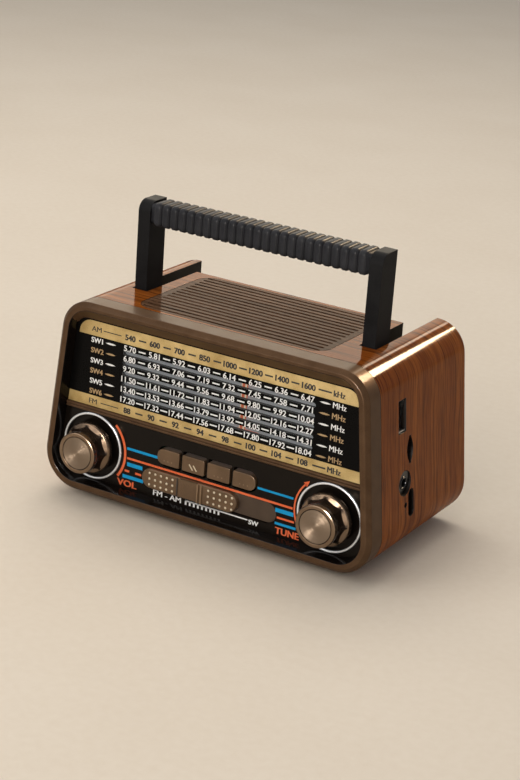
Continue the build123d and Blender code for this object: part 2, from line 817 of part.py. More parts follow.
# Ribbed grip, moulded round the bar
with BuildPart() as grip_rib:
    with BuildSketch(side_plane(-rib_width / 2)):
        with Locations((pivot_y, bar_z)):
            Rectangle(handle_depth, handle_bar)
        chamfer(vertices(), rib_bevel)
    extrude(amount=rib_width)

with BuildPart() as handle_grip:
    with BuildSketch(side_plane(-leg_inner)):
        with Locations((pivot_y, bar_z)):
            Rectangle(handle_depth - 2 * rib_depth, handle_bar - 2 * rib_depth)
        chamfer(vertices(), rib_bevel - rib_depth / 2)
    extrude(amount=2 * leg_inner)
    with GridLocations(rib_pitch, 0, rib_count, 1):
        add(grip_rib.part)
    with BuildSketch(side_plane(-leg_inner)):
        with Locations((pivot_y, bar_z)):
            Rectangle(core_depth + 2 * pin_fit, core_height + 2 * pin_fit)
    extrude(amount=2 * leg_inner, mode=Mode.SUBTRACT)
finish(handle_grip, "handle_grip")

# Steel pins that the handle turns on, held in the walls of the well
with BuildPart() as handle_pins:
    for side in (-1, 1):
        with BuildSketch(side_plane(side * (deck_half_width - well_wall))):
            with Locations((pivot_y, pivot_z)):
                Circle(pin_radius)
        extrude(amount=side * (leg_width + 2 * (well_side_gap + well_wall)))
finish(handle_pins, "handle_pins")

# Rubber feet
with BuildPart() as feet:
    with BuildSketch(Plane.XY):
        with Locations((0, depth(cabinet_depth / 2))):
            with GridLocations(cabinet_bottom_width - 2 * foot_inset_x, cabinet_depth - 2 * foot_inset_y, 2, 2):
                Circle(foot_radius)
    extrude(amount=foot_height)
    chamfer(faces().group_by(Axis.Z)[0].edges(), foot_height / 4)
finish(feet, "feet")

# Rear cover, cut out under the handle well, with the battery compartment and the door's recess
door_bottom = height(door_low)
door_z = door_bottom + door_height / 2
recess_depth = door_thickness + running_fit
hinge_y = cover_back - door_thickness / 2
antenna_z = height(antenna_height)
antenna_pivot_x = half_width(antenna_z) - antenna_side_gap
hinge_z = door_bottom + door_thickness / 2
bay_width = battery_width + 2 * battery_clearance
bay_height = battery_height + 2 * battery_clearance
bay_depth = battery_thickness + battery_clearance
bay_wall = 1.5
with BuildPart() as rear_cover:
    with BuildSketch(front_plane(cover_back)):
        cabinet_outline(panel_inset, panel_inset, panel_inset)
        with Locations((0, well_under + cabinet_height / 2)):
            Rectangle(2 * (well_half_width + well_wall + seat_gap), cabinet_height, mode=Mode.SUBTRACT)
    extrude(amount=cover_thickness)
    with BuildSketch(front_plane(cover_front)):
        with Locations((0, door_z)):
            Rectangle(bay_width + 2 * bay_wall, bay_height + 2 * bay_wall)
    extrude(amount=bay_depth + bay_wall)
    with BuildSketch(front_plane(cover_back)):
        with Locations((0, door_z)):
            Rectangle(door_width + 2 * seat_gap, door_height + 2 * seat_gap)
    extrude(amount=recess_depth, mode=Mode.SUBTRACT)
    with BuildSketch(front_plane(cover_back)):
        with Locations((0, door_z)):
            Rectangle(bay_width, bay_height)
    extrude(amount=cover_thickness + bay_depth, mode=Mode.SUBTRACT)
    with BuildSketch(side_plane(-door_width / 2 - door_pin_length - seat_gap)):
        with Locations((hinge_y, hinge_z)):
            Circle(door_pin_radius + running_fit)
    extrude(amount=door_width + 2 * (door_pin_length + seat_gap), mode=Mode.SUBTRACT)
    with BuildSketch(front_plane(cover_back)):
        with Locations((0, door_bottom + door_height)):
            Circle(screw_head_radius * 2)
    extrude(amount=door_thickness / 2, mode=Mode.SUBTRACT)
    with BuildSketch(front_plane(cover_back)):
        with Locations(*boss_centres):
            Circle(screw_radius + seat_gap)
        with Locations((antenna_pivot_x, antenna_z)):
            Circle(antenna_pin_radius + pin_fit)
    extrude(amount=cover_thickness, mode=Mode.SUBTRACT)
finish(rear_cover, "rear_cover")

# Screws that hold the rear cover
screw_head = 1.1
with BuildPart() as cover_screws:
    with BuildSketch(front_plane(cover_back)):
        with Locations(*boss_centres):
            Circle(screw_radius)
    extrude(amount=cover_thickness + boss_length - cabinet_wall - seat_gap)
    with BuildSketch(front_plane(cover_back)):
        with Locations(*boss_centres):
            Circle(screw_head_radius)
    extrude(amount=-screw_head)
    chamfer(faces().group_by(Axis.Y)[-1].edges(), screw_head / 4)
finish(cover_screws, "cover_screws")

# Battery door, turning on two small pins at its lower edge
with BuildPart() as battery_door:
    with BuildSketch(side_plane(-door_width / 2)):
        with Locations((hinge_y, (hinge_z + door_bottom + door_height) / 2)):
            Rectangle(door_thickness, door_bottom + door_height - hinge_z)
        with Locations((hinge_y, hinge_z)):
            Circle(door_thickness / 2)
    extrude(amount=door_width)
    with BuildSketch(side_plane(-door_width / 2 - door_pin_length)):
        with Locations((hinge_y, hinge_z)):
            Circle(door_pin_radius)
    extrude(amount=door_width + 2 * door_pin_length)
finish(battery_door, "battery_door")

# Flat rechargeable battery in its bay
bay_front = cover_front - bay_depth
with BuildPart() as battery:
    with BuildSketch(front_plane(bay_front + battery_thickness)):
        with Locations((0, door_z)):
            RectangleRounded(battery_width, battery_height, 2.0)
    extrude(amount=battery_thickness)
finish(battery, "battery")

# Spring contacts at the battery's left end
contact_thickness = battery_clearance - running_fit
contact_pitch = 6.0
contact_height = 2.4
with BuildPart() as battery_contacts:
    with BuildSketch(side_plane(-bay_width / 2)):
        with Locations((bay_front + battery_thickness / 2, door_z)):
            with GridLocations(0, contact_pitch, 1, 3):
                Rectangle(battery_thickness, contact_height)
    extrude(amount=contact_thickness)
finish(battery_contacts, "battery_contacts")

# Antenna bracket and pivot on the rear cover
antenna_y = depth(antenna_axis_depth)
knuckle_front = antenna_y - antenna_knuckle_half
with BuildPart() as antenna_bracket:
    with BuildSketch(front_plane(cover_back)):
        with Locations((antenna_pivot_x, antenna_z)):
            Circle(antenna_knuckle_radius)
            Circle(antenna_pin_radius + pin_fit, mode=Mode.SUBTRACT)
    extrude(amount=cover_back - knuckle_front + running_fit)
finish(antenna_bracket, "antenna_bracket")

with BuildPart() as antenna_pivot:
    with BuildSketch(front_plane(cover_front)):
        with Locations((antenna_pivot_x, antenna_z)):
            Circle(antenna_pin_radius)
    extrude(amount=cover_front - antenna_y - antenna_knuckle_half)
finish(antenna_pivot, "antenna_pivot")

# Telescopic antenna: three tubes, the last one closed by a tip
antenna_end = antenna_pivot_x - antenna_length
tube_start = antenna_pivot_x - antenna_knuckle_radius + antenna_step
middle_radius = antenna_radius - antenna_step
inner_radius = middle_radius - antenna_step
inner_start = tube_start - 4 * antenna_radius


def antenna_disc(radius, hole=0.0):
    """Cross-section of an antenna tube."""
    with Locations((antenna_y, antenna_z)):
        Circle(radius)
        if hole:
            Circle(hole, mode=Mode.SUBTRACT)


with BuildPart() as antenna_base:
    with BuildSketch(front_plane(knuckle_front)):
        with Locations((antenna_pivot_x, antenna_z)):
            Circle(antenna_knuckle_radius)
    extrude(amount=-2 * antenna_knuckle_half)
    with BuildSketch(side_plane(antenna_end)):
        antenna_disc(antenna_radius)
    extrude(amount=tube_start - antenna_end)
    with BuildSketch(side_plane(antenna_end)):
        antenna_disc(middle_radius + running_fit)
    extrude(amount=inner_start - antenna_end, mode=Mode.SUBTRACT)
    with BuildSketch(front_plane(knuckle_front)):
        with Locations((antenna_pivot_x, antenna_z)):
            Circle(antenna_pin_radius + running_fit)
    extrude(amount=-2 * antenna_knuckle_half, mode=Mode.SUBTRACT)
finish(antenna_base, "antenna_base")

with BuildPart() as antenna_middle:
    with BuildSketch(side_plane(antenna_end - antenna_step)):
        antenna_disc(middle_radius, inner_radius + running_fit)
    extrude(amount=inner_start - seat_gap - antenna_end + antenna_step)
finish(antenna_middle, "antenna_middle")

tip_length = 4.0
with BuildPart() as antenna_tip:
    with BuildSketch(side_plane(antenna_end - antenna_step)):
        antenna_disc(inner_radius)
    extrude(amount=inner_start - 2 * seat_gap - antenna_end + antenna_step)
    with BuildSketch(side_plane(antenna_end - antenna_step - seat_gap)):
        antenna_disc(antenna_radius)
    extrude(amount=-tip_length)
    with BuildSketch(side_plane(antenna_end - antenna_step)):
        antenna_disc(inner_radius)
    extrude(amount=-seat_gap)
    fillet(faces().sort_by(Axis.X)[0].edges(), antenna_radius / 2)
finish(antenna_tip, "antenna_tip")

# Main board behind the control panel, on the panel's posts
board_half_width = half_width(height(board_high)) - cabinet_wall - board_side_gap
with BuildPart() as main_board:
    with BuildSketch(front_plane(board_y)):
        with Locations((0, height((board_low + board_high) / 2))):
            Rectangle(2 * board_half_width, board_high - board_low)
    extrude(amount=-board_thickness)
finish(main_board, "main_board")

# Push switches behind the buttons and the band switch behind the slider
switch_side = 6.0
with BuildPart() as button_switches:
    with BuildSketch(front_plane(board_y)):
        with Locations(*[(x, button_z) for x in button_xs]):
            Rectangle(switch_side, switch_side)
    extrude(amount=switch_height)
finish(button_switches, "button_switches")

with BuildPart() as band_switch:
    with BuildSketch(front_plane(board_y)):
        with Locations((slider_x + button_gap + slider_travel / 2, slider_z)):
            Rectangle(slider_travel + 3 * stem_width, slider_height - 2.0)
    extrude(amount=band_switch_height)
finish(band_switch, "band_switch")

# Port board on its posts, with the four sockets and the charging lamp that reach into the right wall
port_gap = 1.0
usb_end = half_width(height(usb_height + usb_length / 2)) - port_gap
card_end = half_width(height(card_height + card_length / 2)) - cabinet_wall - seat_gap
aux_end = half_width(height(aux_height + aux_radius)) - seat_gap
dc_end = half_width(height(dc_height + dc_length / 2)) - port_gap
led_end = half_width(height(led_height)) - port_gap
with BuildPart() as port_board:
    with BuildSketch(side_plane(port_board_x)):
        usb_front = depth(usb_depth) - usb_width / 2
        board_clear = board_y + 3 * board_thickness
        Polygon(
            (board_clear, height(port_board_low)),
            (depth(port_board_back), height(port_board_low)),
            (depth(port_board_back), well_under - seat_gap),
            (well_front - well_wall - seat_gap, well_under - seat_gap),
            (well_front - well_wall - seat_gap, height(port_board_high)),
            (usb_front, height(port_board_high)),
            (usb_front, height(split_height)),
            (board_clear, height(split_height)),
            align=None,
        )
    extrude(amount=board_thickness)
finish(port_board, "port_board")

usb_shell = 0.6
usb_tongue_back = 5.0
with BuildPart() as usb_socket:
    with BuildSketch(side_plane(port_board_face)):
        with Locations((depth(usb_depth), height(usb_height))):
            Rectangle(usb_width, usb_length)
    extrude(amount=usb_end - port_board_face)
    with BuildSketch(side_plane(usb_end)):
        with Locations((depth(usb_depth), height(usb_height))):
            Rectangle(usb_width - 2 * usb_shell, usb_length - 2 * usb_shell)
    extrude(amount=port_board_face + usb_shell - usb_end, mode=Mode.SUBTRACT)
    with BuildSketch(side_plane(port_board_face)):
        with Locations((depth(usb_depth) - usb_width / 5, height(usb_height))):
            Rectangle(usb_width / 3, usb_length - 4 * usb_shell)
    extrude(amount=usb_end - usb_tongue_back - port_board_face)
finish(usb_socket, "usb_socket")

with BuildPart() as card_socket:
    with BuildSketch(side_plane(port_board_face)):
        with Locations((depth(card_depth), height(card_height))):
            Rectangle(3 * card_slit, card_length + 2 * card_slit)
    extrude(amount=card_end - port_board_face)
    with BuildSketch(side_plane(card_end)):
        with Locations((depth(card_depth), height(card_height))):
            Rectangle(card_slit, card_length)
    extrude(amount=card_slit + port_board_face - card_end, mode=Mode.SUBTRACT)
finish(card_socket, "card_socket")

with BuildPart() as aux_socket:
    with BuildSketch(side_plane(port_board_face)):
        with Locations((depth(aux_depth), height(aux_height))):
            Circle(aux_radius)
    extrude(amount=aux_end - port_board_face)
    with BuildSketch(side_plane(port_board_face + aux_bore)):
        with Locations((depth(aux_depth), height(aux_height))):
            Circle(aux_bore)
    extrude(amount=aux_end - port_board_face - aux_bore, mode=Mode.SUBTRACT)
finish(aux_socket, "aux_socket")

with BuildPart() as dc_socket:
    with BuildSketch(side_plane(port_board_face)):
        with Locations((depth(dc_depth), height(dc_height))):
            RectangleRounded(dc_width, dc_length, dc_width / 2 - seat_gap)
    extrude(amount=dc_end - port_board_face)
    with BuildSketch(side_plane(dc_end)):
        with Locations((depth(dc_depth), height(dc_height))):
            Rectangle(dc_width / 2, dc_length - dc_width)
    extrude(amount=-dc_length / 2, mode=Mode.SUBTRACT)
finish(dc_socket, "dc_socket")

with BuildPart() as charge_lamp:
    with BuildSketch(side_plane(port_board_face)):
        with Locations((depth(led_depth), height(led_height))):
            Circle(led_radius)
    extrude(amount=led_end - port_board_face)
finish(charge_lamp, "charge_lamp")

# Speaker under the grille: baffle, basket with magnet, and cone
baffle_under = deck_under - baffle_thickness
basket_bottom = baffle_under - speaker_depth
speaker_axis = Axis((0, grille_y, 0), (0, 0, 1))
speaker_plane = Plane(origin=(0, grille_y, 0), x_dir=(1, 0, 0), z_dir=(0, -1, 0))
with BuildPart() as speaker_baffle:
    with BuildSketch(Plane.XY.offset(deck_under)):
        with Locations((0, grille_y)):
            Rectangle(2 * (deck_half_width - well_wall - seat_gap), grille_length)
            Circle(cone_radius + 1, mode=Mode.SUBTRACT)
    extrude(amount=-baffle_thickness)
finish(speaker_baffle, "speaker_baffle")

flange_thickness = 1.5
basket_wall = 1.2
with BuildPart() as speaker_frame:
    with BuildSketch(speaker_plane):
        with BuildLine():
            Polyline(
                (0, basket_bottom),
                (magnet_radius, basket_bottom),
                (magnet_radius, basket_bottom + magnet_height),
                (cone_radius + basket_wall, baffle_under - 2 * flange_thickness),
                (cone_radius + basket_wall, baffle_under - flange_thickness),
                (speaker_radius, baffle_under - flange_thickness),
                (speaker_radius, baffle_under),
                (cone_radius, baffle_under),
                (cone_radius, baffle_under - 2 * flange_thickness),
                (magnet_radius - 2 * basket_wall, basket_bottom + magnet_height + basket_wall),
                (0, basket_bottom + magnet_height + basket_wall),
                close=True,
            )
        make_face()
    revolve(axis=speaker_axis)
finish(speaker_frame, "speaker_frame")

cone_gap = 0.4
cone_lift = 3.0
dust_cap = 7.0
cone_low = basket_bottom + magnet_height + basket_wall + cone_lift
with BuildPart() as speaker_cone:
    with BuildSketch(speaker_plane):
        with BuildLine():
            Polyline(
                (0, cone_low + dust_cap / 2),
                (dust_cap, cone_low + basket_wall),
                (cone_radius - 2.0, baffle_under - flange_thickness),
                (cone_radius - cone_gap, baffle_under - flange_thickness / 2),
                (cone_radius - cone_gap, baffle_under - flange_thickness / 2 - basket_wall / 2),
                (cone_radius - 2.0, baffle_under - flange_thickness - basket_wall),
                (dust_cap, cone_low),
                (0, cone_low + dust_cap / 2 - basket_wall),
                close=True,
            )
        make_face()
    revolve(axis=speaker_axis)
finish(speaker_cone, "speaker_cone")

# Ferrite rod antenna with its coil, in two cradles on the cabinet's floor
ferrite_y = depth(ferrite_depth)
ferrite_z = height(ferrite_height)
cabinet_floor = height(cabinet_wall)
cradle_thickness = 3.0
with BuildPart() as ferrite_rod:
    with BuildSketch(side_plane(-ferrite_length / 2)):
        with Locations((ferrite_y, ferrite_z)):
            Circle(ferrite_radius)
    extrude(amount=ferrite_length)
finish(ferrite_rod, "ferrite_rod")

with BuildPart() as ferrite_coil:
    with BuildSketch(side_plane(-coil_length / 2)):
        with Locations((ferrite_y, ferrite_z)):
            Circle(ferrite_radius + coil_wall)
            Circle(ferrite_radius + pin_fit, mode=Mode.SUBTRACT)
    extrude(amount=coil_length)
finish(ferrite_coil, "ferrite_coil")

with BuildPart() as ferrite_holder:
    for side in (-1, 1):
        with BuildSketch(side_plane(side * ferrite_length / 3)):
            with Locations((ferrite_y, (cabinet_floor + ferrite_z) / 2)):
                Rectangle(3 * ferrite_radius, ferrite_z - cabinet_floor)
            with Locations((ferrite_y, ferrite_z)):
                Circle(ferrite_radius + pin_fit, mode=Mode.SUBTRACT)
        extrude(amount=side * cradle_thickness)
finish(ferrite_holder, "ferrite_holder")
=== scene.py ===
import math

import bmesh
import bpy
from mathutils import Matrix, Vector


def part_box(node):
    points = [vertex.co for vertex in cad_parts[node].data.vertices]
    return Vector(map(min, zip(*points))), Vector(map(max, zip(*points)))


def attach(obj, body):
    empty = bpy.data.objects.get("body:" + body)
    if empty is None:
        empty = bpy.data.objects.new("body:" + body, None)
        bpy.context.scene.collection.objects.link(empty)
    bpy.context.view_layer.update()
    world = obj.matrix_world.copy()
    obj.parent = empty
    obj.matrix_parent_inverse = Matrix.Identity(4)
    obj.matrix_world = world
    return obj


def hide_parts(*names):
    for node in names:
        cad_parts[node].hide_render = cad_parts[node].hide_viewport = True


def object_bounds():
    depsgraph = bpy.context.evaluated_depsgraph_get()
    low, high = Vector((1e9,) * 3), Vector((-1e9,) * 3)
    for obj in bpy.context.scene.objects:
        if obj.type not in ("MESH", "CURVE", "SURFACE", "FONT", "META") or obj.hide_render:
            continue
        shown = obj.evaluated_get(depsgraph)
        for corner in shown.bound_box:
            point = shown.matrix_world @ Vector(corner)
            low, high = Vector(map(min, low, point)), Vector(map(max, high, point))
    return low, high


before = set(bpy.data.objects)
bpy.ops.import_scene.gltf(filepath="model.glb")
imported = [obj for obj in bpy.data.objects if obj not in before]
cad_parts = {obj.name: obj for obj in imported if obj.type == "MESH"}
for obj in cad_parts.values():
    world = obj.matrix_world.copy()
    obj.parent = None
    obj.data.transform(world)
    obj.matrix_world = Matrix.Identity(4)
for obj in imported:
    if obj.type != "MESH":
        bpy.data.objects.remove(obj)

cad_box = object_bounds()

# Wood cabinet: a moulded sleeve wrapped in printed wood-grain foil under clear gloss lacquer.
# The foil goes round the box, so the grain is upright on the sides and runs across the top.
# The lacquer rounds its cut edges a little. The faces in the well and the faces that look inwards are near
# black, and the faces round the port holes are dark brown.
mm = 0.001


def linear(hex_colour):
    """An sRGB hex colour as linear red, green, blue and alpha."""
    channels = [int(hex_colour[i : i + 2], 16) / 255 for i in (1, 3, 5)]
    return [c / 12.92 if c <= 0.04045 else ((c + 0.055) / 1.055) ** 2.4 for c in channels] + [1.0]


def fill(material, node, inputs):
    """Sets the inputs of a shader node to values, or links them to the outputs of other nodes."""
    for socket, value in inputs.items():
        if isinstance(value, bpy.types.NodeSocket):
            material.node_tree.links.new(value, node.inputs[socket])
        else:
            node.inputs[socket].default_value = value


def add_node(material, kind, inputs, **settings):
    """Adds a shader node with its settings, and fills or links its inputs."""
    node = material.node_tree.nodes.new(kind)
    for name, value in settings.items():
        setattr(node, name, value)
    fill(material, node, inputs)
    return node


def new_finish(name):
    """A new material with the plain shader that Blender starts it with."""
    material = bpy.data.materials.new(name)
    material.use_nodes = True
    return material


def finished(material, **inputs):
    """Fills the inputs of a material's Principled shader, and gives the material back."""
    shader = material.node_tree.nodes["Principled BSDF"]
    fill(material, shader, {socket.replace("_", " "): value for socket, value in inputs.items()})
    return material


def wood_grain(name, base, red, streak, gloss, coat):
    """Printed wood grain: broad red bands, narrow dark streaks and fine pores, drawn out along the wrap."""
    wander_size = 45 * mm
    wander_reach = (0.0, 9 * mm, 0.0)
    material = new_finish(name)
    place = add_node(material, "ShaderNodeTexCoord", {}).outputs["Object"]
    wander = add_node(
        material, "ShaderNodeTexNoise", {"Vector": place, "Scale": 1 / wander_size, "Detail": 2.0},
    )
    shift = add_node(
        material, "ShaderNodeVectorMath", {0: wander.outputs["Color"], 1: wander_reach},
        operation="MULTIPLY",
    )
    grain = add_node(material, "ShaderNodeVectorMath", {0: place, 1: shift.outputs[0]}, operation="ADD")
    tone = linear(base)
    for across, along, detail, low, high, most, colour in (
        (7.0, 110.0, 3.0, 0.36, 0.62, 1.0, red),
        (1.5, 38.0, 5.0, 0.48, 0.68, 0.85, streak),
        (0.45, 9.0, 2.0, 0.52, 0.75, 0.6, streak),
    ):
        reach = (1 / (along * mm), 1 / (across * mm), 1 / (along * mm))
        drawn = add_node(material, "ShaderNodeMapping", {"Vector": grain.outputs[0], "Scale": reach})
        layer = add_node(
            material, "ShaderNodeTexNoise", {"Vector": drawn.outputs[0], "Scale": 1.0, "Detail": detail},
        )
        share = add_node(
            material, "ShaderNodeMapRange",
            {"Value": layer.outputs["Fac"], "From Min": low, "From Max": high, "To Max": most},
        )
        mixed = add_node(
            material, "ShaderNodeMix", {0: share.outputs[0], 6: tone, 7: linear(colour)}, data_type="RGBA",
        )
        tone = mixed.outputs[2]
    pores = add_node(
        material, "ShaderNodeBump", {"Height": layer.outputs["Fac"], "Strength": 0.06, "Distance": 0.1 * mm},
    )
    return finished(
        material, Base_Color=tone, Normal=pores.outputs[0], Roughness=gloss, Specular_IOR_Level=0.0,
        Coat_Weight=coat, Coat_Roughness=0.09,
    )


def grained_finish(name, dark, light, grain, roughness, relief=0.05, **fixed):
    """A moulded, sprayed, plated or printed surface: two near tones, uneven gloss and a grain in mm."""
    # The real grain is mostly finer, so it is drawn as coarse as it needs to show.
    material = new_finish(name)
    place = add_node(material, "ShaderNodeTexCoord", {}).outputs["Object"]
    fine = add_node(
        material, "ShaderNodeTexNoise", {"Vector": place, "Scale": 1 / (grain * mm), "Detail": 3.0},
    )
    broad = add_node(
        material, "ShaderNodeTexNoise", {"Vector": place, "Scale": 1 / (25 * grain * mm), "Detail": 2.0},
    )
    both = add_node(
        material, "ShaderNodeMath", {0: fine.outputs["Fac"], 1: broad.outputs["Fac"]}, operation="ADD",
    )
    span = {"Value": both.outputs[0], "From Min": 0.7, "From Max": 1.3}
    share = add_node(material, "ShaderNodeMapRange", span)
    tone = add_node(
        material, "ShaderNodeMix", {0: share.outputs[0], 6: linear(dark), 7: linear(light)},
        data_type="RGBA",
    )
    uneven = {"To Min": roughness * 0.85, "To Max": roughness * 1.15}
    gloss = add_node(material, "ShaderNodeMapRange", {**span, **uneven})
    bump = add_node(
        material, "ShaderNodeBump",
        {"Height": fine.outputs["Fac"], "Strength": relief, "Distance": 0.3 * grain * mm},
    )
    return finished(
        material, Base_Color=tone.outputs[2], Roughness=gloss.outputs[0], Normal=bump.outputs[0], **fixed,
    )


def as_piece(shape, name, body, slot, *finishes):
    """Turns a bmesh into a piece of the object that rides on a body."""
    mesh = bpy.data.meshes.new(name)
    shape.to_mesh(mesh)
    shape.free()
    for finish in finishes:
        mesh.materials.append(finish)
    piece = bpy.data.objects.new(name, mesh)
    bpy.context.scene.collection.objects.link(piece)
    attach(piece, body)
    return piece


same_place = 0.001 * mm
flat_enough = math.radians(0.5)


def merged_copy(node):
    """A CAD node's mesh as a bmesh, with its triangles joined and its flat faces whole."""
    shape = bmesh.new()
    shape.from_mesh(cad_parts[node].data)
    bmesh.ops.remove_doubles(shape, verts=shape.verts, dist=same_place)
    bmesh.ops.dissolve_limit(shape, angle_limit=flat_enough, verts=shape.verts, edges=shape.edges)
    return shape


def softened(node, name, width, body, slot, *finishes, shape=None, sharp=32, segments=2):
    """A copy of a CAD node, or a new shape in its place, with its sharp edges rounded."""
    shape = shape or merged_copy(node)
    edges = [e for e in shape.edges if e.is_manifold and e.calc_face_angle() > math.radians(sharp)]
    bmesh.ops.bevel(
        shape, geom=edges, offset=width, offset_type="OFFSET", affect="EDGES", segments=segments,
        profile=0.5, material=-1, clamp_overlap=True,
    )
    for face in shape.faces:
        face.smooth = True
    piece = as_piece(shape, name, body, slot, *finishes)
    piece.modifiers.new("even_shading", "WEIGHTED_NORMAL").keep_sharp = True
    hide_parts(node)
    return piece


cabinet_wood = wood_grain("lacquered_wood_foil", "#955420", "#7d4115", "#3c1905", 0.45, 0.28)
well_brown = grained_finish(
    "near_black_well_faces", "#100905", "#150c07", 0.4, 0.6, relief=0.1, Specular_IOR_Level=0.1,
)
port_brown = grained_finish(
    "dark_brown_port_faces", "#1e1713", "#251d18", 0.4, 0.5, relief=0.1, Specular_IOR_Level=0.2,
)
cabinet = softened(
    "cabinet_shell", "wood_cabinet", 0.2 * mm, "cabinet", "wood", cabinet_wood, well_brown, port_brown,
)
handle_low, handle_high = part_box("handle_frame")
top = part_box("cabinet_shell")[1].z
port_low, port_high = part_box("port_board")
well_side_gap = 1.4 * mm
well_front_gap = 1.2 * mm
well_rim = 0.35 * mm
port_wall = 14.2 * mm
port_wall_height = 51 * mm
side_slope = 0.112
for face in cabinet.data.polygons:
    place = face.center
    over_well = abs(place.x) < handle_high.x + well_side_gap and place.y > handle_low.y - well_front_gap
    in_well = over_well and place.z < top - well_rim
    inside = place.x * face.normal.x + (place.z - top / 2) * face.normal.z < 0
    by_port = place.x > port_high.x and port_low.y < place.y < port_high.y
    skin = port_high.x + port_wall - side_slope * (place.z - port_wall_height)
    cut = abs(face.normal.x) < 0.9 or place.x < skin
    # Faces in the well and inward faces take the near-black finish; the faces round the ports take the dark
    # brown one.
    if in_well or inside:
        face.material_index = 1
    elif by_port and cut:
        face.material_index = 2

# Speaker grille: a slotted panel let into the deck, in a darker wood print than the sleeve.
# Its bars catch the light on their edges and the slots show the dark speaker below.
grille_wood = wood_grain("dark_wood_foil", "#6d523f", "#5a412f", "#362317", 0.34, 0.14)
softened("speaker_grille", "slotted_grille", 0.2 * mm, "cabinet", "wood", grille_wood)

# Front bezel and divider: moulded plastic sprayed with satin bronze lacquer.
# Metal flake gives it a soft, slightly grainy sheen, warm on the turned corners.
# The bezel's inner slopes, all but the one under its top, are painted near black as shade, with a gloss that
# mirrors the dial.
bronze = grained_finish(
    "satin_bronze_lacquer", "#4c3827", "#5b4532", 0.25, 0.42, relief=0.12, Metallic=0.22,
    Specular_IOR_Level=0.02, Coat_Weight=0.1, Coat_Roughness=0.12,
)
bezel_slope_shade = grained_finish(
    "gloss_black_painted_shade", "#0f0b09", "#15100d", 0.4, 0.16, relief=0.02, Specular_IOR_Level=0.2,
)
bezel = softened(
    "front_bezel", "bronze_bezel", 0.35 * mm, "cabinet", "bronze", bronze, bezel_slope_shade, segments=3,
)
bezel_low, bezel_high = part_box("front_bezel")
# Painted shade: the inward slopes, except the one under the top and the flat front, take the near-black
# gloss.
for face in bezel.data.polygons:
    from_middle = face.center - (bezel_low + bezel_high) / 2
    inward = from_middle.x * face.normal.x + from_middle.z * face.normal.z < 0
    under_top = face.normal.z <= -0.5
    flat_front = abs(face.normal.y) >= 0.93
    if inward and not under_top and not flat_front:
        face.material_index = 1
softened("dial_divider", "ridged_divider", 0.1 * mm, "cabinet", "bronze", bronze)

# Dial plate and control panel: clear plastic printed black from behind, so the black lies deep under gloss.
# Clear acrylic strips close the dial's windows. The grey backing behind them is drawn pale and glows a
# little: painted light in place of the light that the deep windows shade off.
# The wells round the knobs and the slot of the slider are cut in the lower panel.


def paint(node, finish):
    """Gives a CAD node its finish."""
    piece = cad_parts[node]
    piece.data.materials.clear()
    piece.data.materials.append(finish)


dial_black = grained_finish(
    "black_dial_print", "#060606", "#0a0909", 0.6, 0.3, relief=0.01, Specular_IOR_Level=0.06,
)
panel_black = grained_finish(
    "black_panel_print", "#120e0b", "#18130f", 0.6, 0.14, relief=0.01, Specular_IOR_Level=0.12,
)
window_clear = grained_finish(
    "clear_acrylic", "#6f7376", "#787c7f", 3.0, 0.3, relief=0.01, Alpha=0.2, Specular_IOR_Level=0.1,
)
# Painted light: a pale grey with a faint glow, though no lamp lights the backing.
backing_grey_glow = grained_finish(
    "grey_plastic_painted_glow", "#8e9296", "#9da1a5", 6.0, 0.6, relief=0.01,
    Emission_Color=linear("#b4b8bc"), Emission_Strength=0.32,
)
paint("dial_plate", dial_black)
paint("control_panel", panel_black)
paint("dial_windows", window_clear)
paint("dial_chassis", backing_grey_glow)

# Pointer: a stick of orange plastic, carried along behind the windows by the dial cord.
# Both edges of its face are printed cream, the right one wider, so that it shows on the grey. The stick and
# its edges glow a little, as painted light, so that they show in the shaded windows.
# Painted light: the orange stick and its cream edges glow, though they are no lamp.
pointer_orange = grained_finish(
    "orange_plastic_painted_glow", "#cc5218", "#d85f24", 0.5, 0.4,
    Emission_Color=linear("#d4581c"), Emission_Strength=0.55,
)
edge_cream = grained_finish(
    "cream_edge_print_painted_glow", "#dccdaa", "#e8dbbb", 0.4, 0.5,
    Emission_Color=linear("#dccdaa"), Emission_Strength=0.6,
)
paint("dial_pointer", pointer_orange)
pointer_low, pointer_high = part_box("dial_pointer")
pointer_middle = (pointer_low + pointer_high) / 2
stick_half = 1.3 * mm
edge_print = 0.06 * mm
pale_edges = bmesh.new()
for side, wide in ((-1, 0.35 * mm), (1, 0.8 * mm)):
    edge_x = pointer_middle.x + side * (stick_half - wide / 2)
    place = Vector((edge_x, pointer_low.y - edge_print / 2, pointer_middle.z))
    size = Vector((wide, edge_print, pointer_high.z - pointer_low.z))
    bmesh.ops.create_cube(pale_edges, size=1.0, matrix=Matrix.LocRotScale(place, None, size))
as_piece(pale_edges, "pointer_pale_edges", "pointer", "pointer", edge_cream)

# Printed marks of the dial: gold bands with dark numbers, rows of white and tan numbers joined by dashes.
# They are screen-printed on the plate's face, a few hundredths of a millimetre thick.
# The gold ink holds metal flake, so it glitters a little. Places here are in millimetres.
dial_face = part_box("dial_plate")[0].y
ink = 0.05 * mm
upright = Matrix.Rotation(math.pi / 2, 4, "X")
gold = grained_finish("gold_screen_print", "#a78a4d", "#d2b87c", 0.28, 0.45, relief=0.15, Metallic=0.2)
white_ink = grained_finish("white_screen_print", "#e6e8e8", "#f6f7f7", 0.3, 0.45, relief=0.03)
tan_ink = grained_finish("tan_screen_print", "#a8895c", "#bb9c6e", 0.3, 0.45, relief=0.03)
dark_ink = grained_finish("dark_screen_print", "#0f0a07", "#17100b", 0.3, 0.45, relief=0.03)


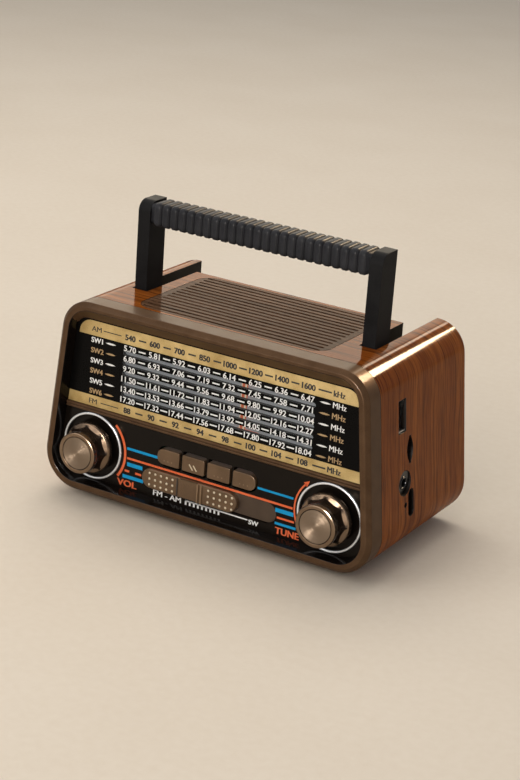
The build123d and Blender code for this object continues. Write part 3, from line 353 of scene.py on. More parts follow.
def closed(shape):
    """Joins the seams of a new shape, fills its open ends and turns its faces outwards."""
    bmesh.ops.remove_doubles(shape, verts=shape.verts, dist=same_place)
    bmesh.ops.holes_fill(shape, edges=shape.edges, sides=0)
    bmesh.ops.recalc_face_normals(shape, faces=shape.faces)
    return shape


def raise_ink(shape, printed):
    """Gives the faces that are new since the printed ones the thickness of a layer of ink."""
    fresh = [face for face in shape.faces if face not in printed]
    raised = bmesh.ops.extrude_face_region(shape, geom=fresh)["geom"]
    points = [point for point in raised if isinstance(point, bmesh.types.BMVert)]
    bmesh.ops.translate(shape, verts=points, vec=(0, -ink, 0))


def add_outline(shape, corners, rounds):
    """Adds a printed patch with the given corners, some of them rounded."""
    printed = set(shape.faces)
    points = [shape.verts.new((x * mm, dial_face, z * mm)) for x, z in corners]
    patch = shape.faces.new(points)
    patch.normal_update()
    if patch.normal.y > 0:
        patch.normal_flip()
    for point, radius in zip(points, rounds):
        if radius:
            bmesh.ops.bevel(
                shape, geom=[point], offset=radius * mm, offset_type="OFFSET", affect="VERTICES",
                segments=8, profile=0.5, material=-1,
            )
    raise_ink(shape, printed)


def add_bar(shape, left, right, middle, thick, layer=0):
    """Adds a straight printed line between two places across, at a height."""
    size = Vector((abs(right - left) * mm, ink, thick * mm))
    place = Vector(((left + right) / 2 * mm, dial_face - (layer + 0.5) * ink, middle * mm))
    bmesh.ops.create_cube(shape, size=1.0, matrix=Matrix.LocRotScale(place, None, size))


def add_words(shape, words, x, z, tall, narrow, bold, swell=0.008, align="CENTER", layer=0):
    """Adds upright lettering as a thin solid, printed twice with a shift for bold strokes."""
    curve = bpy.data.curves.new("lettering", "FONT")
    curve.body = words
    curve.size = 1.0
    curve.offset = swell
    curve.resolution_u = 3
    curve.extrude = 0.5
    holder = bpy.data.objects.new("lettering", curve)
    bpy.context.scene.collection.objects.link(holder)
    bpy.context.view_layer.update()
    mesh = bpy.data.meshes.new_from_object(holder.evaluated_get(bpy.context.evaluated_depsgraph_get()))
    bpy.data.objects.remove(holder)
    bpy.data.curves.remove(curve)
    xs = [v.co.x for v in mesh.vertices]
    ys = [v.co.y for v in mesh.vertices]
    start = (min(xs) + max(xs)) / 2 if align == "CENTER" else min(xs)
    share = tall * mm / (max(ys) - min(ys))
    mesh.transform(Matrix.Translation((-start, -(min(ys) + max(ys)) / 2, 0)))
    mesh.transform(Matrix.Diagonal((share * narrow, share, ink, 1)))
    mesh.transform(upright)
    place = ((x - bold * tall / 2) * mm, dial_face - (layer + 0.5) * ink, z * mm)
    mesh.transform(Matrix.Translation(place))
    shape.from_mesh(mesh)
    mesh.transform(Matrix.Translation((bold * tall * mm, 0.1 * ink, 0)))
    shape.from_mesh(mesh)
    bpy.data.meshes.remove(mesh)


upper_band = ((-69.6, 75.8), (69.4, 75.8), (68.7, 82.5), (-68.9, 82.5))
lower_band = ((-74.3, 43.3), (74.3, 43.3), (73.7, 48.3), (-73.7, 48.3))
upper_round = 5.5
bands = bmesh.new()
add_outline(bands, upper_band, (0, 0, upper_round, upper_round))
add_outline(bands, lower_band, (0, 0, 0, 0))
as_piece(closed(bands), "gold_bands", "cabinet", "dial", gold)

column_first = -42.9
column_pitch = 12.6
columns = [column_first + column_pitch * number for number in range(8)]
label_start = -63.1
label_room = 6.2
unit_start = 57.1
unit_gap = 1.0
band_gap = 4.4
end_gap = 4.6
dash_thick = 0.7
label_thick = 0.4
band_rows = (
    ("AM", "kHz", 78.9, ("540", "600", "700", "850", "1000", "1200", "1400", "1600")),
    ("FM", "MHz", 45.65, ("88", "90", "92", "94", "98", "100", "104", "108")),
)
band_label = {"tall": 2.3, "narrow": 1.1, "bold": 0.05, "swell": 0.0, "align": "LEFT", "layer": 1}
band_unit = {"tall": 2.6, "narrow": 0.88, "bold": 0.12, "swell": 0.0, "align": "LEFT", "layer": 1}
band_number = {"tall": 2.7, "narrow": 1.0, "bold": 0.07, "swell": 0.026, "layer": 1}
band_marks = bmesh.new()
for label, unit, z, numbers in band_rows:
    add_words(band_marks, label, label_start, z, **band_label)
    add_bar(band_marks, label_start + label_room, columns[0] - end_gap, z, label_thick, 1)
    add_bar(band_marks, columns[-1] + end_gap, unit_start - unit_gap, z, dash_thick, 1)
    add_words(band_marks, unit, unit_start, z, **band_unit)
    for number, x in zip(numbers, columns):
        add_words(band_marks, number, x, z, **band_number)
    for x in columns[:-1]:
        add_bar(band_marks, x + band_gap, x + column_pitch - band_gap, z, dash_thick, 1)
as_piece(closed(band_marks), "band_numbers", "cabinet", "dial", dark_ink)

row_top = 73.85
row_pitch = 4.7
row_gap = 4.5
row_thick = 0.62
spindles = ((-55.5, -50.2), (50.9, 56.1))
spindle_half = 0.42
spindle_taper = 1.5
spindle_round = 0.7
short_wave = ((5.7, 0.11), (6.8, 0.13), (9.2, 0.12), (11.5, 0.11), (13.4, 0.13), (17.2, 0.12))
row_label = {"tall": 2.4, "narrow": 1.0, "bold": 0.07, "align": "LEFT"}
row_unit = {"tall": 2.5, "narrow": 0.92, "bold": 0.05, "swell": 0.0, "align": "LEFT"}
row_number = {"tall": 2.65, "narrow": 1.0, "bold": 0.04}
white_marks = bmesh.new()
tan_marks = bmesh.new()
for row, (first, step) in enumerate(short_wave):
    z = row_top - row * row_pitch
    side_marks = tan_marks if row % 2 else white_marks
    add_words(side_marks, f"SW{row + 1}", label_start, z, **row_label)
    for left, right in spindles:
        near, far = left + spindle_taper, right - spindle_taper
        low, high = z - spindle_half, z + spindle_half
        outline = ((left, z), (near, low), (far, low), (right, z), (far, high), (near, high))
        add_outline(side_marks, outline, (0, spindle_round, spindle_round) * 2)
    add_words(side_marks, "MHz", unit_start, z, **row_unit)
    for number, x in enumerate(columns):
        add_words(white_marks, f"{first + number * step:.2f}", x, z, **row_number)
    for x in columns[:-1]:
        add_bar(white_marks, x + row_gap, x + column_pitch - row_gap, z, row_thick)
as_piece(closed(white_marks), "white_dial_marks", "cabinet", "dial", white_ink)
as_piece(closed(tan_marks), "tan_dial_marks", "cabinet", "dial", tan_ink)

# Printed marks of the control panel: blue and orange stripes that lead to the knobs, an arc by each ring.
# Short plain words name the two knobs, and a white comb of ticks lies under the band slider.
# The inks are opaque screen inks, flat and even on the gloss black.
orange_ink = grained_finish(
    "orange_screen_print", "#e4663a", "#f07a4e", 0.3, 0.45, relief=0.03, Specular_IOR_Level=0.1,
)
blue_ink = grained_finish(
    "blue_screen_print", "#0a93d0", "#1ca8e4", 0.3, 0.45, relief=0.03, Specular_IOR_Level=0.1,
)
ring_low, ring_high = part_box("tuning_ring")
knob_middle = (ring_low + ring_high) / 2 / mm


def add_arc(shape, centre_x, radius, start, end, thick):
    """Adds a printed arc round a knob, from one angle to another in degrees."""
    printed = set(shape.faces)
    hub = Vector((centre_x * mm, dial_face, knob_middle.z * mm))
    reaches = (radius - thick / 2, radius + thick / 2)
    ends = [shape.verts.new(hub + Vector((reach * mm, 0, 0))) for reach in reaches]
    edge = shape.edges.new(ends)
    turn = Matrix.Rotation(math.radians(-start), 3, "Y")
    bmesh.ops.rotate(shape, verts=ends, cent=hub, matrix=turn)
    bmesh.ops.spin(
        shape, geom=ends + [edge], cent=hub, axis=(0, -1, 0), angle=math.radians(end - start), steps=24,
        use_merge=False,
    )
    raise_ink(shape, printed)


volume_arc = {"radius": 17.3, "start": -38, "end": 47, "thick": 1.2}
tuning_arc = {"radius": 16.8, "start": 136, "end": 205, "thick": 0.75}
arrow_head = ((-0.5, 1.2), (-0.5, -1.2), (2.3, 0.0))
arrow_angle = math.radians(tuning_arc["start"])
arrow_turn = Matrix.Rotation(math.radians(tuning_arc["start"] - 90), 2)
arrow_way = Vector((math.cos(arrow_angle), math.sin(arrow_angle)))
arrow_from = knob_middle.xz + arrow_way * tuning_arc["radius"]
orange_marks = bmesh.new()
add_arc(orange_marks, -knob_middle.x, **volume_arc)
add_arc(orange_marks, knob_middle.x, **tuning_arc)
add_outline(orange_marks, [arrow_from + arrow_turn @ Vector(corner) for corner in arrow_head], (0, 0, 0))
for left, right, z, thick in (
    (-41.6, 42.4, 23.9, 1.0), (-42.6, -40.2, 17.8, 1.0),
    (-37.0, -33.8, 17.8, 1.0), (35.2, 43.6, 17.8, 0.9),
):
    add_bar(orange_marks, left, right, z, thick)
add_words(orange_marks, "VOL", -41.2, 11.9, tall=3.0, narrow=1.25, bold=0.1)
add_words(orange_marks, "TUNE", 40.6, 11.9, tall=3.0, narrow=1.05, bold=0.08)
as_piece(closed(orange_marks), "orange_panel_marks", "cabinet", "panel", orange_ink)

blue_marks = bmesh.new()
for left, right, z, thick in (
    (-41.8, -25.6, 28.4, 1.2), (-41.5, -33.4, 21.1, 1.8), (-43.6, -32.7, 15.1, 1.6),
    (24.9, 42.4, 28.4, 1.0), (34.2, 43.0, 21.1, 1.8), (34.4, 44.6, 15.1, 1.1),
):
    add_bar(blue_marks, left, right, z, thick)
as_piece(blue_marks, "blue_panel_marks", "cabinet", "panel", blue_ink)

comb_start = -10.6
comb_end = 21.1
comb_back = 12.5
comb_thick = 0.6
tick_count = 9
tick_pitch = 2.1
tick_wide = 0.9
tick_tall = 2.2
tick_middle = 11.7
slider_marks = bmesh.new()
add_words(slider_marks, "FM - AM", -19.9, 11.8, tall=2.5, narrow=1.15, bold=0.09, swell=0.0)
for number in range(tick_count):
    tick = comb_start + tick_pitch * number
    add_bar(slider_marks, tick, tick + tick_wide, tick_middle, tick_tall)
add_bar(slider_marks, comb_start, comb_end, comb_back, comb_thick)
add_words(slider_marks, "SW", 24.1, 11.9, tall=2.1, narrow=1.1, bold=0.1)
as_piece(closed(slider_marks), "white_panel_marks", "cabinet", "panel", white_ink)

# Bright rings round the knobs: thin turned rings with a bright silver plating.
# They are pressed into the panel, and their rounded edges carry a thin line of light all round.
ring_silver = grained_finish(
    "bright_silver_plate", "#f0f4fa", "#f8fbff", 0.4, 0.25, relief=0.01, Metallic=0.5,
)
for name in ("volume", "tuning"):
    softened(
        f"{name}_ring", f"{name}_bright_ring", 0.28 * mm, "cabinet", "ring", ring_silver,
        sharp=20, segments=3,
    )

# Knobs: moulded with a fluted waist, plated in bronze, with a spun disc let into the face. The waist and the
# groove round the disc are drawn darker, as painted shade.
# The turning marks on the disc draw the light out into bright wedges.
# Its rings are real lathe marks drawn coarser than they are, so that they show.


def spun_bronze(name, centre):
    """A disc turned on a lathe: rings round the knob's middle lean the surface in and out."""
    ring_size = 0.12 * mm
    steepest = 0.6
    material = new_finish(name)
    place = add_node(material, "ShaderNodeTexCoord", {}).outputs["Object"]
    middle = add_node(material, "ShaderNodeVectorMath", {0: place, 1: centre}, operation="SUBTRACT")
    flat = add_node(
        material, "ShaderNodeVectorMath", {0: middle.outputs[0], 1: (1.0, 0.0, 1.0)}, operation="MULTIPLY",
    )
    reach = add_node(material, "ShaderNodeVectorMath", {0: flat.outputs[0]}, operation="LENGTH")
    rings = add_node(
        material, "ShaderNodeTexNoise",
        {"W": reach.outputs["Value"], "Scale": 1 / ring_size, "Detail": 2.0}, noise_dimensions="1D",
    ).outputs["Fac"]
    tone = add_node(
        material, "ShaderNodeMix", {0: rings, 6: linear("#6a5c4f"), 7: linear("#827363")}, data_type="RGBA",
    )
    gloss = add_node(material, "ShaderNodeMapRange", {"Value": rings, "To Min": 0.32, "To Max": 0.44})
    slope = add_node(
        material, "ShaderNodeMapRange",
        {"Value": rings, "From Min": 0.25, "From Max": 0.75, "To Min": -steepest, "To Max": steepest},
    )
    outward = add_node(material, "ShaderNodeVectorMath", {0: flat.outputs[0]}, operation="NORMALIZE")
    lean = add_node(
        material, "ShaderNodeVectorMath", {0: outward.outputs[0], "Scale": slope.outputs[0]},
        operation="SCALE",
    )
    facing = add_node(
        material, "ShaderNodeVectorMath", {0: lean.outputs[0], 1: (0.0, -1.0, 0.0)}, operation="ADD",
    )
    turned = add_node(
        material, "ShaderNodeVectorTransform", {0: facing.outputs[0]}, vector_type="NORMAL",
        convert_from="OBJECT", convert_to="WORLD",
    )
    return finished(
        material, Metallic=1.0, Base_Color=tone.outputs[2], Roughness=gloss.outputs[0],
        Normal=turned.outputs[0],
    )


knob_bronze = grained_finish(
    "bronze_plated_plastic", "#746150", "#857260", 0.3, 0.24, relief=0.04, Metallic=0.95,
)
# Painted shade: the fluted waist under the head and the groove round the disc take this dark bronze.
knob_shade_bronze = grained_finish(
    "bronze_painted_shade", "#2a1f17", "#372a20", 0.3, 0.25, relief=0.04, Metallic=0.6,
)
plated, spun, shaded = 0, 1, 2
flute_count = 8
flute_steps = 14
crease = math.radians(24)
# The knob's rings from its back to its front, in millimetres: the radius, and how far behind the front.
# In the waist the radius is that of the flutes, and the ridges between them have their own.
flange = (
    (2.6, 11.1), (10.6, 11.1), (11.5, 10.6), (11.6, 10.2),
    (11.6, 8.5), (11.4, 8.1), (11.05, 7.8), (10.95, 7.75),
)
waist = (
    (9.4, 7.1, 10.7, plated), (9.2, 6.6, 10.4, shaded), (8.8, 5.4, 9.7, shaded), (8.55, 4.2, 9.2, shaded),
    (8.55, 3.2, 8.9, shaded), (8.7, 2.7, 8.75, shaded),
)
head = (
    (9.1, 2.3), (9.4, 2.1), (9.4, 0.5), (9.25, 0.15), (8.95, 0.0), (7.75, 0.0), (7.65, 0.08),
)
groove = ((7.55, 0.3), (7.35, 0.3))
rim = ((7.25, 0.1),)
disc_edge = ((7.05, 0.02),)
knob_profile = [(radius, back, radius, plated) for radius, back in flange]
knob_profile += waist
knob_profile += [(radius, back, radius, plated) for radius, back in head]
knob_profile += [(radius, back, radius, shaded) for radius, back in groove]
knob_profile += [(radius, back, radius, plated) for radius, back in rim]
knob_profile += [(radius, back, radius, spun) for radius, back in disc_edge]
for name in ("volume", "tuning"):
    low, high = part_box(f"{name}_knob")
    centre = (low + high) / 2
    disc = spun_bronze(f"spun_bronze_{name}", centre)
    knob = bmesh.new()
    bmesh.ops.create_circle(knob, cap_ends=True, segments=flute_count * flute_steps, radius=1.0)
    cap = knob.faces[:][0]
    bmesh.ops.rotate(knob, verts=knob.verts, cent=(0, 0, 0), matrix=Matrix.Rotation(math.pi / 2, 3, "X"))
    circle = [v.co.copy() for v in cap.verts]
    ridge = [abs(2 * (number / flute_steps % 1) - 1) ** 2 for number in range(len(circle))]
    for step, (hollow, back, crest, finish) in enumerate(knob_profile):
        if step:
            made = set(knob.faces)
            cap = bmesh.ops.extrude_discrete_faces(knob, faces=[cap])["faces"][0]
            for face in set(knob.faces) - made:
                face.material_index = finish
        for point, direction, share in zip(cap.verts, circle, ridge):
            radius = (hollow + (crest - hollow) * share) * mm
            point.co = (centre.x + direction.x * radius, low.y + back * mm, centre.z + direction.z * radius)
    cap.material_index = spun
    for face in closed(knob).faces:
        face.smooth = True
    for edge in knob.edges:
        edge.smooth = edge.calc_face_angle(0.0) < crease
    knob_piece = as_piece(knob, f"{name}_fluted_knob", name, "knob", knob_bronze, disc, knob_shade_bronze)
    knob_piece.modifiers.new("even_shading", "WEIGHTED_NORMAL").keep_sharp = True
    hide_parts(f"{name}_knob")

# Push keys and band slider: moulded caps in the same bronze-brown lacquer as the bezel, but plainer.
# The keys stand in slots of the panel, and the two outer ones have a round end.
# The slider has cream dots on both ends for the finger, and runs on a flat bed.
brown_cap = grained_finish(
    "brown_lacquered_caps", "#5f4a35", "#6f573f", 0.3, 0.34, relief=0.08, Metallic=0.4,
)
bed_brown = grained_finish("brown_slider_bed", "#3d2e20", "#493625", 0.3, 0.42, relief=0.06, Metallic=0.3)
dots_cream = grained_finish("cream_dots", "#cdbfa2", "#ddd0b4", 0.2, 0.4, relief=0.03)
key_names = ("mode", "back", "play", "forward")
key_tall = 7.1 * mm
key_wide = 11.3 * mm
key_deep = 4.0 * mm
key_drop = 1.0 * mm
key_round = 0.7 * mm
key_end_round = 3.2 * mm
for name in key_names:
    low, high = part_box(f"{name}_button")
    middle = (low + high) / 2
    front = Vector((middle.x, low.y + key_drop, middle.z))
    key = bmesh.new()
    bmesh.ops.create_grid(
        key, x_segments=1, y_segments=1, size=0.5,
        matrix=Matrix.LocRotScale(front, None, (key_wide, 1, key_tall)) @ upright,
    )
    for corner in key.verts[:]:
        row_end = key_names[0] if corner.co.x < front.x else key_names[-1]
        radius = key_end_round if name == row_end else key_round
        bmesh.ops.bevel(
            key, geom=[corner], offset=radius, offset_type="OFFSET", affect="VERTICES", segments=8,
            profile=0.5, material=-1,
        )
    sides = bmesh.ops.extrude_face_region(key, geom=key.faces[:])["geom"]
    points = [point for point in sides if isinstance(point, bmesh.types.BMVert)]
    bmesh.ops.translate(key, verts=points, vec=(0, key_deep, 0))
    bmesh.ops.recalc_face_normals(key, faces=key.faces)
    softened(f"{name}_button", f"{name}_key", 0.25 * mm, name, "brown_plastic", brown_cap, shape=key)
softened("band_slider", "band_slider_cap", 0.12 * mm, "slider", "brown_plastic", brown_cap, sharp=25)
paint("slider_bed", bed_brown)

slider_low, slider_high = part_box("band_slider")
slider_middle = (slider_low + slider_high) / 2
dot_offset = 15.1 * mm
dot_shift = 0.9 * mm
dot_column = 3.0 * mm
dot_row = 2.7 * mm
dot_radius = 0.6 * mm
dot_sink = 0.28 * mm
dot_flat = Matrix.Diagonal((1.0, 0.6, 1.0, 1.0))
cream_dots = bmesh.new()
for side in (-1, 1):
    for column in range(-2, 3):
        for row in (-1, 0, 1):
            x = slider_middle.x + dot_shift + side * dot_offset + column * dot_column
            place = Matrix.Translation((x, slider_low.y + dot_sink, slider_middle.z + row * dot_row))
            bmesh.ops.create_icosphere(
                cream_dots, subdivisions=2, radius=dot_radius, matrix=place @ dot_flat,
            )
for face in cream_dots.faces:
    face.smooth = True
as_piece(cream_dots, "slider_dots", "slider", "brown_plastic", dots_cream)

# Slider ridges and key marks: two raised ridges and a dark line frame the slider's square middle.
# Each key has small pale marks low on its face, plain dots on three of them and two strokes on the other.
ridge_brown = grained_finish(
    "worn_brown_lacquer", "#7d654b", "#8d7458", 0.3, 0.36, relief=0.06, Metallic=0.3,
)
line_dark = grained_finish("dark_line_print", "#1e1610", "#261c15", 0.3, 0.5, relief=0.02)


def add_block(shape, x, z, wide, tall, front, back, lean=0):
    """Adds a small block on a face, by its middle, its size and its lean in degrees."""
    place = Vector((x, (front + back) / 2, z))
    turn = Matrix.Rotation(math.radians(lean), 4, "Y").to_quaternion()
    size = Vector((wide, back - front, tall))
    bmesh.ops.create_cube(shape, size=1.0, matrix=Matrix.LocRotScale(place, turn, size))


cap_tall = 8.6 * mm
ridge_places = (-3.2 * mm, -1.4 * mm)
ridge_wide = 0.7 * mm
ridge_front = slider_low.y - 0.3 * mm
ridge_back = slider_low.y + 0.2 * mm
ridges = bmesh.new()
for x in ridge_places:
    add_block(ridges, x, slider_middle.z, ridge_wide, cap_tall, ridge_front, ridge_back)
as_piece(ridges, "slider_ridges", "slider", "brown_plastic", ridge_brown)
line_place = -13.7 * mm
line_wide = 0.5 * mm
line_front = slider_low.y - 0.05 * mm
line_back = slider_low.y + 0.1 * mm
line = bmesh.new()
add_block(line, line_place, slider_middle.z, line_wide, cap_tall, line_front, line_back)
as_piece(line, "slider_line", "slider", "brown_plastic", line_dark)

mark_drop = 1.6 * mm
mark_proud = 0.04 * mm
mark_sink = 0.1 * mm
stroke_places = (-1.0 * mm, 1.0 * mm)
stroke_raise = 0.6 * mm
stroke_wide = 0.55 * mm
stroke_tall = 3.0 * mm
stroke_lean = -38
spot_places = (-1.9 * mm, 0.0, 1.9 * mm)
spot_size = 0.6 * mm
for name in key_names:
    low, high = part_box(f"{name}_button")
    key_x = (low.x + high.x) / 2
    mark_z = (low.z + high.z) / 2 - mark_drop
    front = low.y + key_drop - mark_proud
    back = low.y + key_drop + mark_sink
    marks = bmesh.new()
    if name == "back":
        mark_finish = dots_cream
        stroke_z = mark_z + stroke_raise
        for x in stroke_places:
            add_block(marks, key_x + x, stroke_z, stroke_wide, stroke_tall, front, back, stroke_lean)
    else:
        mark_finish = ridge_brown
        for x in spot_places:
            add_block(marks, key_x + x, mark_z, spot_size, spot_size, front, back)
    as_piece(marks, f"{name}_key_marks", name, "brown_plastic", mark_finish)

# Folding handle: two flat legs and a bar in black ABS, with a ribbed grip moulded round the bar.
# The legs have a fine moulded texture that takes no gloss, and turn on pins in the well.
# Each rib of the grip is stepped, and its edges are worn shiny by hands.
handle_black = grained_finish(
    "black_moulded_abs", "#1a1a1b", "#232324", 0.35, 0.46, relief=0.14, Specular_IOR_Level=0.03,
)
grip_black = grained_finish(
    "black_soft_grip", "#2d2e32", "#3a3b3f", 0.35, 0.44, relief=0.06, Specular_IOR_Level=0.03,
)
grip_worn = grained_finish(
    "worn_shiny_grip", "#2c2d30", "#38393c", 0.35, 0.36, relief=0.03, Specular_IOR_Level=0.09,
)
softened("handle_frame", "handle_legs", 0.6 * mm, "handle", "black_plastic", handle_black, segments=3)

grip_low, grip_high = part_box("handle_grip")
grip_low.z -= 1.0 * mm
grip_middle = (grip_low + grip_high) / 2
grip_half = (grip_high - grip_low) / 2
grip_round = 2.2 * mm
rib_count = 25
rib_pitch = 4.2 * mm
rib_half = ((0.95, 0.0), (1.3, 0.22), (1.36, 0.32), (1.74, 0.34), (1.82, 0.46), (1.86, 0.9))
rib_profile = [(-along, sink) for along, sink in reversed(rib_half)] + list(rib_half)
rib_sink = 0.9 * mm
grip = bmesh.new()
bmesh.ops.create_grid(grip, x_segments=1, y_segments=1, size=1.0)
bmesh.ops.scale(grip, vec=(grip_half.z, grip_half.y, 1.0), verts=grip.verts)
bmesh.ops.bevel(
    grip, geom=list(grip.verts), offset=grip_round, offset_type="OFFSET", affect="VERTICES", segments=7,
    profile=0.5, material=-1,
)
bmesh.ops.rotate(grip, verts=grip.verts, cent=(0, 0, 0), matrix=Matrix.Rotation(math.pi / 2, 3, "Y"))
bmesh.ops.translate(grip, verts=grip.verts, vec=grip_middle)
cap = grip.faces[:][0]
ring_shape = [(v.co.y - grip_middle.y, v.co.z - grip_middle.z) for v in cap.verts]
rings = [(grip_low.x, rib_sink)]
for rib in range(rib_count):
    rib_x = (rib - (rib_count - 1) / 2) * rib_pitch
    rings += [(rib_x + along * mm, sink * mm) for along, sink in rib_profile]
rings.append((grip_high.x, rib_sink))
for number, (x, sink) in enumerate(rings):
    if number:
        cap = bmesh.ops.extrude_discrete_faces(grip, faces=[cap])["faces"][0]
    for point, (y, z) in zip(cap.verts, ring_shape):
        point.co.x = x
        point.co.y = grip_middle.y + y * (1 - sink / grip_half.y)
        point.co.z = grip_middle.z + z * (1 - sink / grip_half.z)
for face in closed(grip).faces:
    face.smooth = True
    if 0.3 < abs(face.normal.x) < 0.8:
        face.material_index = 1
grip_piece = as_piece(grip, "ribbed_grip", "handle", "black_plastic", grip_black, grip_worn)
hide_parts("handle_grip")

# Steel parts: the handle's pins, the screws in the back, the shafts and cans of the controls, the speaker.
# They are plated, so they are bright and grey with a faint drawn grain.
steel = grained_finish("plated_steel", "#9a9b9d", "#b4b5b7", 0.3, 0.3, relief=0.05, Metallic=1.0)
for name in (
    "handle_pins", "cover_screws", "volume_shaft", "tuning_shaft", "pointer_rail", "antenna_pivot",
    "volume_control", "tuning_control", "speaker_frame", "usb_socket",
):
    paint(name, steel)

# Sockets on the right side: black moulded bodies behind the wood, and a small red charging lamp.
# The round socket has a dark nickel contact ring, and a lip of the USB shell shows in its hole.
socket_black = grained_finish(
    "black_socket_plastic", "#0a0a0b", "#111112", 0.3, 0.25, relief=0.02, Specular_IOR_Level=0.25,
)
dark_nickel = grained_finish("dark_nickel_plate", "#2e2e30", "#3a3a3d", 0.3, 0.22, relief=0.02, Metallic=0.9)
for name in (
    "aux_socket", "card_socket", "dc_socket", "antenna_bracket", "button_switches", "band_switch",
    "speaker_baffle",
):
    paint(name, socket_black)
paint("charge_lamp", grained_finish("red_lamp_plastic", "#3a0c08", "#4c120c", 0.3, 0.2))

aux_low, aux_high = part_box("aux_socket")
aux_hub = Vector((aux_high.x, (aux_low.y + aux_high.y) / 2, (aux_low.z + aux_high.z) / 2))
contact_reach = 2.5 * mm
contact_wire = 0.38 * mm
contact_start = Matrix.Translation(aux_hub + Vector((0, 0, contact_reach))) @ upright
aux_ring = bmesh.new()
bmesh.ops.create_circle(aux_ring, segments=12, radius=contact_wire, matrix=contact_start)
bmesh.ops.spin(
    aux_ring, geom=aux_ring.verts[:] + aux_ring.edges[:], cent=aux_hub, axis=(1, 0, 0), angle=2 * math.pi,
    steps=36, use_merge=True,
)
bmesh.ops.recalc_face_normals(aux_ring, faces=aux_ring.faces)
for face in aux_ring.faces:
    face.smooth = True
as_piece(aux_ring, "aux_contact_ring", "cabinet", "chrome", dark_nickel)

usb_low, usb_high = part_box("usb_socket")
lip_proud = 0.9 * mm
lip_raise = 0.4 * mm
lip_room = 0.4 * mm
lip_deep = 2.2 * mm
lip_thick = 0.6 * mm
lip_place = Vector((usb_high.x + lip_proud, (usb_low.y + usb_high.y) / 2, usb_low.z + lip_raise))
lip_size = Vector((lip_deep, usb_high.y - usb_low.y - lip_room, lip_thick))
usb_lip = bmesh.new()
bmesh.ops.create_cube(usb_lip, size=1.0, matrix=Matrix.LocRotScale(lip_place, None, lip_size))
as_piece(usb_lip, "usb_shell_lip", "cabinet", "chrome", steel)

# Rear cover and battery door: black plastic moulded in a spark-eroded tool, screwed to the sleeve.
# The fine pits of the tool make them matt and slightly rough.
cover_black = grained_finish("textured_black_plastic", "#151617", "#1e1f21", 0.5, 0.55, relief=0.35)
softened("rear_cover", "back_panel", 0.25 * mm, "cabinet", "black_plastic", cover_black)
softened("battery_door", "battery_hatch", 0.25 * mm, "door", "black_plastic", cover_black)

# Whip antenna: three chromed brass tubes that slide in one another, on a swivel at the back.
# The drawn tubes are polished before plating, so they mirror the room in long lines.
antenna_chrome = grained_finish("antenna_chrome", "#c8cacc", "#dadcde", 0.4, 0.12, relief=0.01, Metallic=1.0)
softened("antenna_base", "antenna_outer_tube", 0.1 * mm, "antenna_arm", "chrome", antenna_chrome)
softened("antenna_middle", "antenna_middle_tube", 0.08 * mm, "antenna_mid", "chrome", antenna_chrome)
softened("antenna_tip", "antenna_end_tube", 0.08 * mm, "antenna_end", "chrome", antenna_chrome)

# Rubber feet, and the pieces inside that only show through gaps or with the battery door open.
# Each has the plain finish that such pieces have: board, paper cone, ferrite, cord, cell and copper.
paint("feet", grained_finish("black_rubber", "#121212", "#1b1b1b", 0.6, 0.75, relief=0.2))
inner_finishes = {
    "white_nylon": (("tuning_drum",), "#dcdcd4", "#e8e8e0", 0.45),
    "green_circuit_board": (("main_board", "port_board"), "#17502a", "#1f6034", 0.4),
    "pressed_paper": (("speaker_cone",), "#141414", "#1c1c1c", 0.8),
    "sintered_ferrite": (("ferrite_rod",), "#2a2a2b", "#353536", 0.6),
    "grey_holder_plastic": (("ferrite_holder",), "#8f9090", "#9c9d9d", 0.5),
    "braided_cord": (("dial_cord",), "#cfc8b4", "#ddd7c4", 0.8),
    "wrapped_cell": (("battery",), "#33407a", "#3d4b8c", 0.4),
}
for name, (nodes, dark, light, roughness) in inner_finishes.items():
    finish = grained_finish(name, dark, light, 0.5, roughness)
    for node in nodes:
        paint(node, finish)
copper = grained_finish("bare_copper", "#b06a40", "#c47c50", 0.3, 0.35, Metallic=1.0)
paint("ferrite_coil", copper)
paint("battery_contacts", copper)

# Floor: a plain pale studio table, wide enough to fill the view.
# It is matt, so that it takes the object's soft shadow and mirrors nothing.
floor_shape = bmesh.new()
bmesh.ops.create_grid(floor_shape, x_segments=1, y_segments=1, size=6.0)
floor_mesh = bpy.data.meshes.new("studio_floor")
floor_shape.to_mesh(floor_mesh)
floor_shape.free()
floor = bpy.data.objects.new("studio_floor", floor_mesh)
bpy.context.scene.collection.objects.link(floor)
floor_mesh.materials.append(grained_finish(
    "pale_studio_floor", "#dbd0c0", "#dfd5c6", 4.0, 0.7, relief=0.02, Specular_IOR_Level=0.0,
))

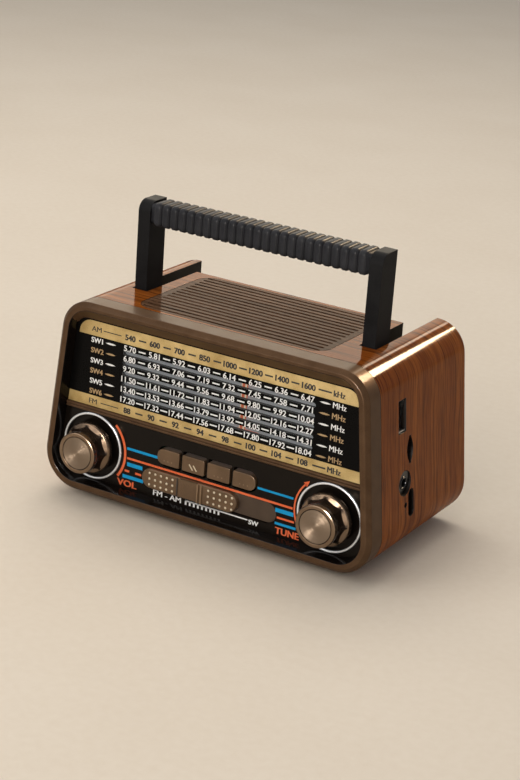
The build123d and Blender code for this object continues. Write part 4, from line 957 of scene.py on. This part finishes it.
# Studio light: an even sky, with soft windows above and in front that face the object.
# The cards only show in shiny surfaces, as studio reflectors do.
# They make the streak on the cabinet's shoulder, the sheen of the deck and the wedges on the knobs.
world = bpy.data.worlds.new("soft_studio")
bpy.context.scene.world = world
world.use_nodes = True
world.node_tree.nodes["Background"].inputs["Color"].default_value = linear("#e8eaee")
world.node_tree.nodes["Background"].inputs["Strength"].default_value = 0.4
cad_low, cad_high = cad_box
aim = Vector(((cad_low[0] + cad_high[0]) / 2, (cad_low[1] + cad_high[1]) / 2, 60 * mm))
for name, card, place, wide, tall, power, colour in (
    ("back_window", True, (0.325, 0.94, 0.72), 0.3, 0.24, 24.0, "#ffdfb4"),
    ("back_strip", True, (-0.08, 0.98, 0.76), 0.1, 0.3, 1.4, "#ffe9cc"),
    ("back_wall", True, (-1.0, 1.5, 0.62), 1.4, 0.9, 14.0, "#fbecd2"),
    ("top_soft", False, (-0.35, 0.35, 1.3), 1.2, 1.2, 12.0, "#fff6ea"),
    ("front_card", True, (0.21, -1.2, 0.38), 0.2, 0.2, 36.0, "#fff8f0"),
    ("front_window", False, (0.25, -1.2, 0.6), 0.5, 0.5, 3.5, "#fff4e8"),
    ("front_fill", False, (-0.6, -0.9, 0.8), 0.9, 0.9, 5.0, "#fff8f0"),
):
    lamp = bpy.data.lights.new(name, "AREA")
    lamp.shape = "RECTANGLE"
    lamp.size = wide
    lamp.size_y = tall
    lamp.energy = power
    lamp.color = linear(colour)[:3]
    light = bpy.data.objects.new(name, lamp)
    facing = (aim - Vector(place)).to_track_quat("-Z", "Y")
    light.matrix_world = Matrix.LocRotScale(Vector(place), facing, None)
    light.visible_diffuse = not card
    bpy.context.scene.collection.objects.link(light)

# Camera: above and to the right of the front, as the photograph was taken.
# Its place, turn and lens were worked out from the dial rows, the knob rings and the cabinet's edges.
camera_right = Vector((0.85288, 0.51754, 0.06892))
camera_up = Vector((-0.23454, 0.26185, 0.93618))
camera_back = Vector((0.46646, -0.81461, 0.34471))
camera_place = Vector((0.39488, -0.68850, 0.34683))
camera_data = bpy.data.cameras.new("photo_view")
camera_data.lens = 89.17
camera_data.sensor_width = 36.0
camera = bpy.data.objects.new("photo_view", camera_data)
camera_turn = Matrix((camera_right, camera_up, camera_back)).transposed().to_quaternion()
camera.matrix_world = Matrix.LocRotScale(camera_place, camera_turn, None)
bpy.context.scene.collection.objects.link(camera)
bpy.context.scene.camera = camera
bpy.context.scene.view_settings.view_transform = "Standard"
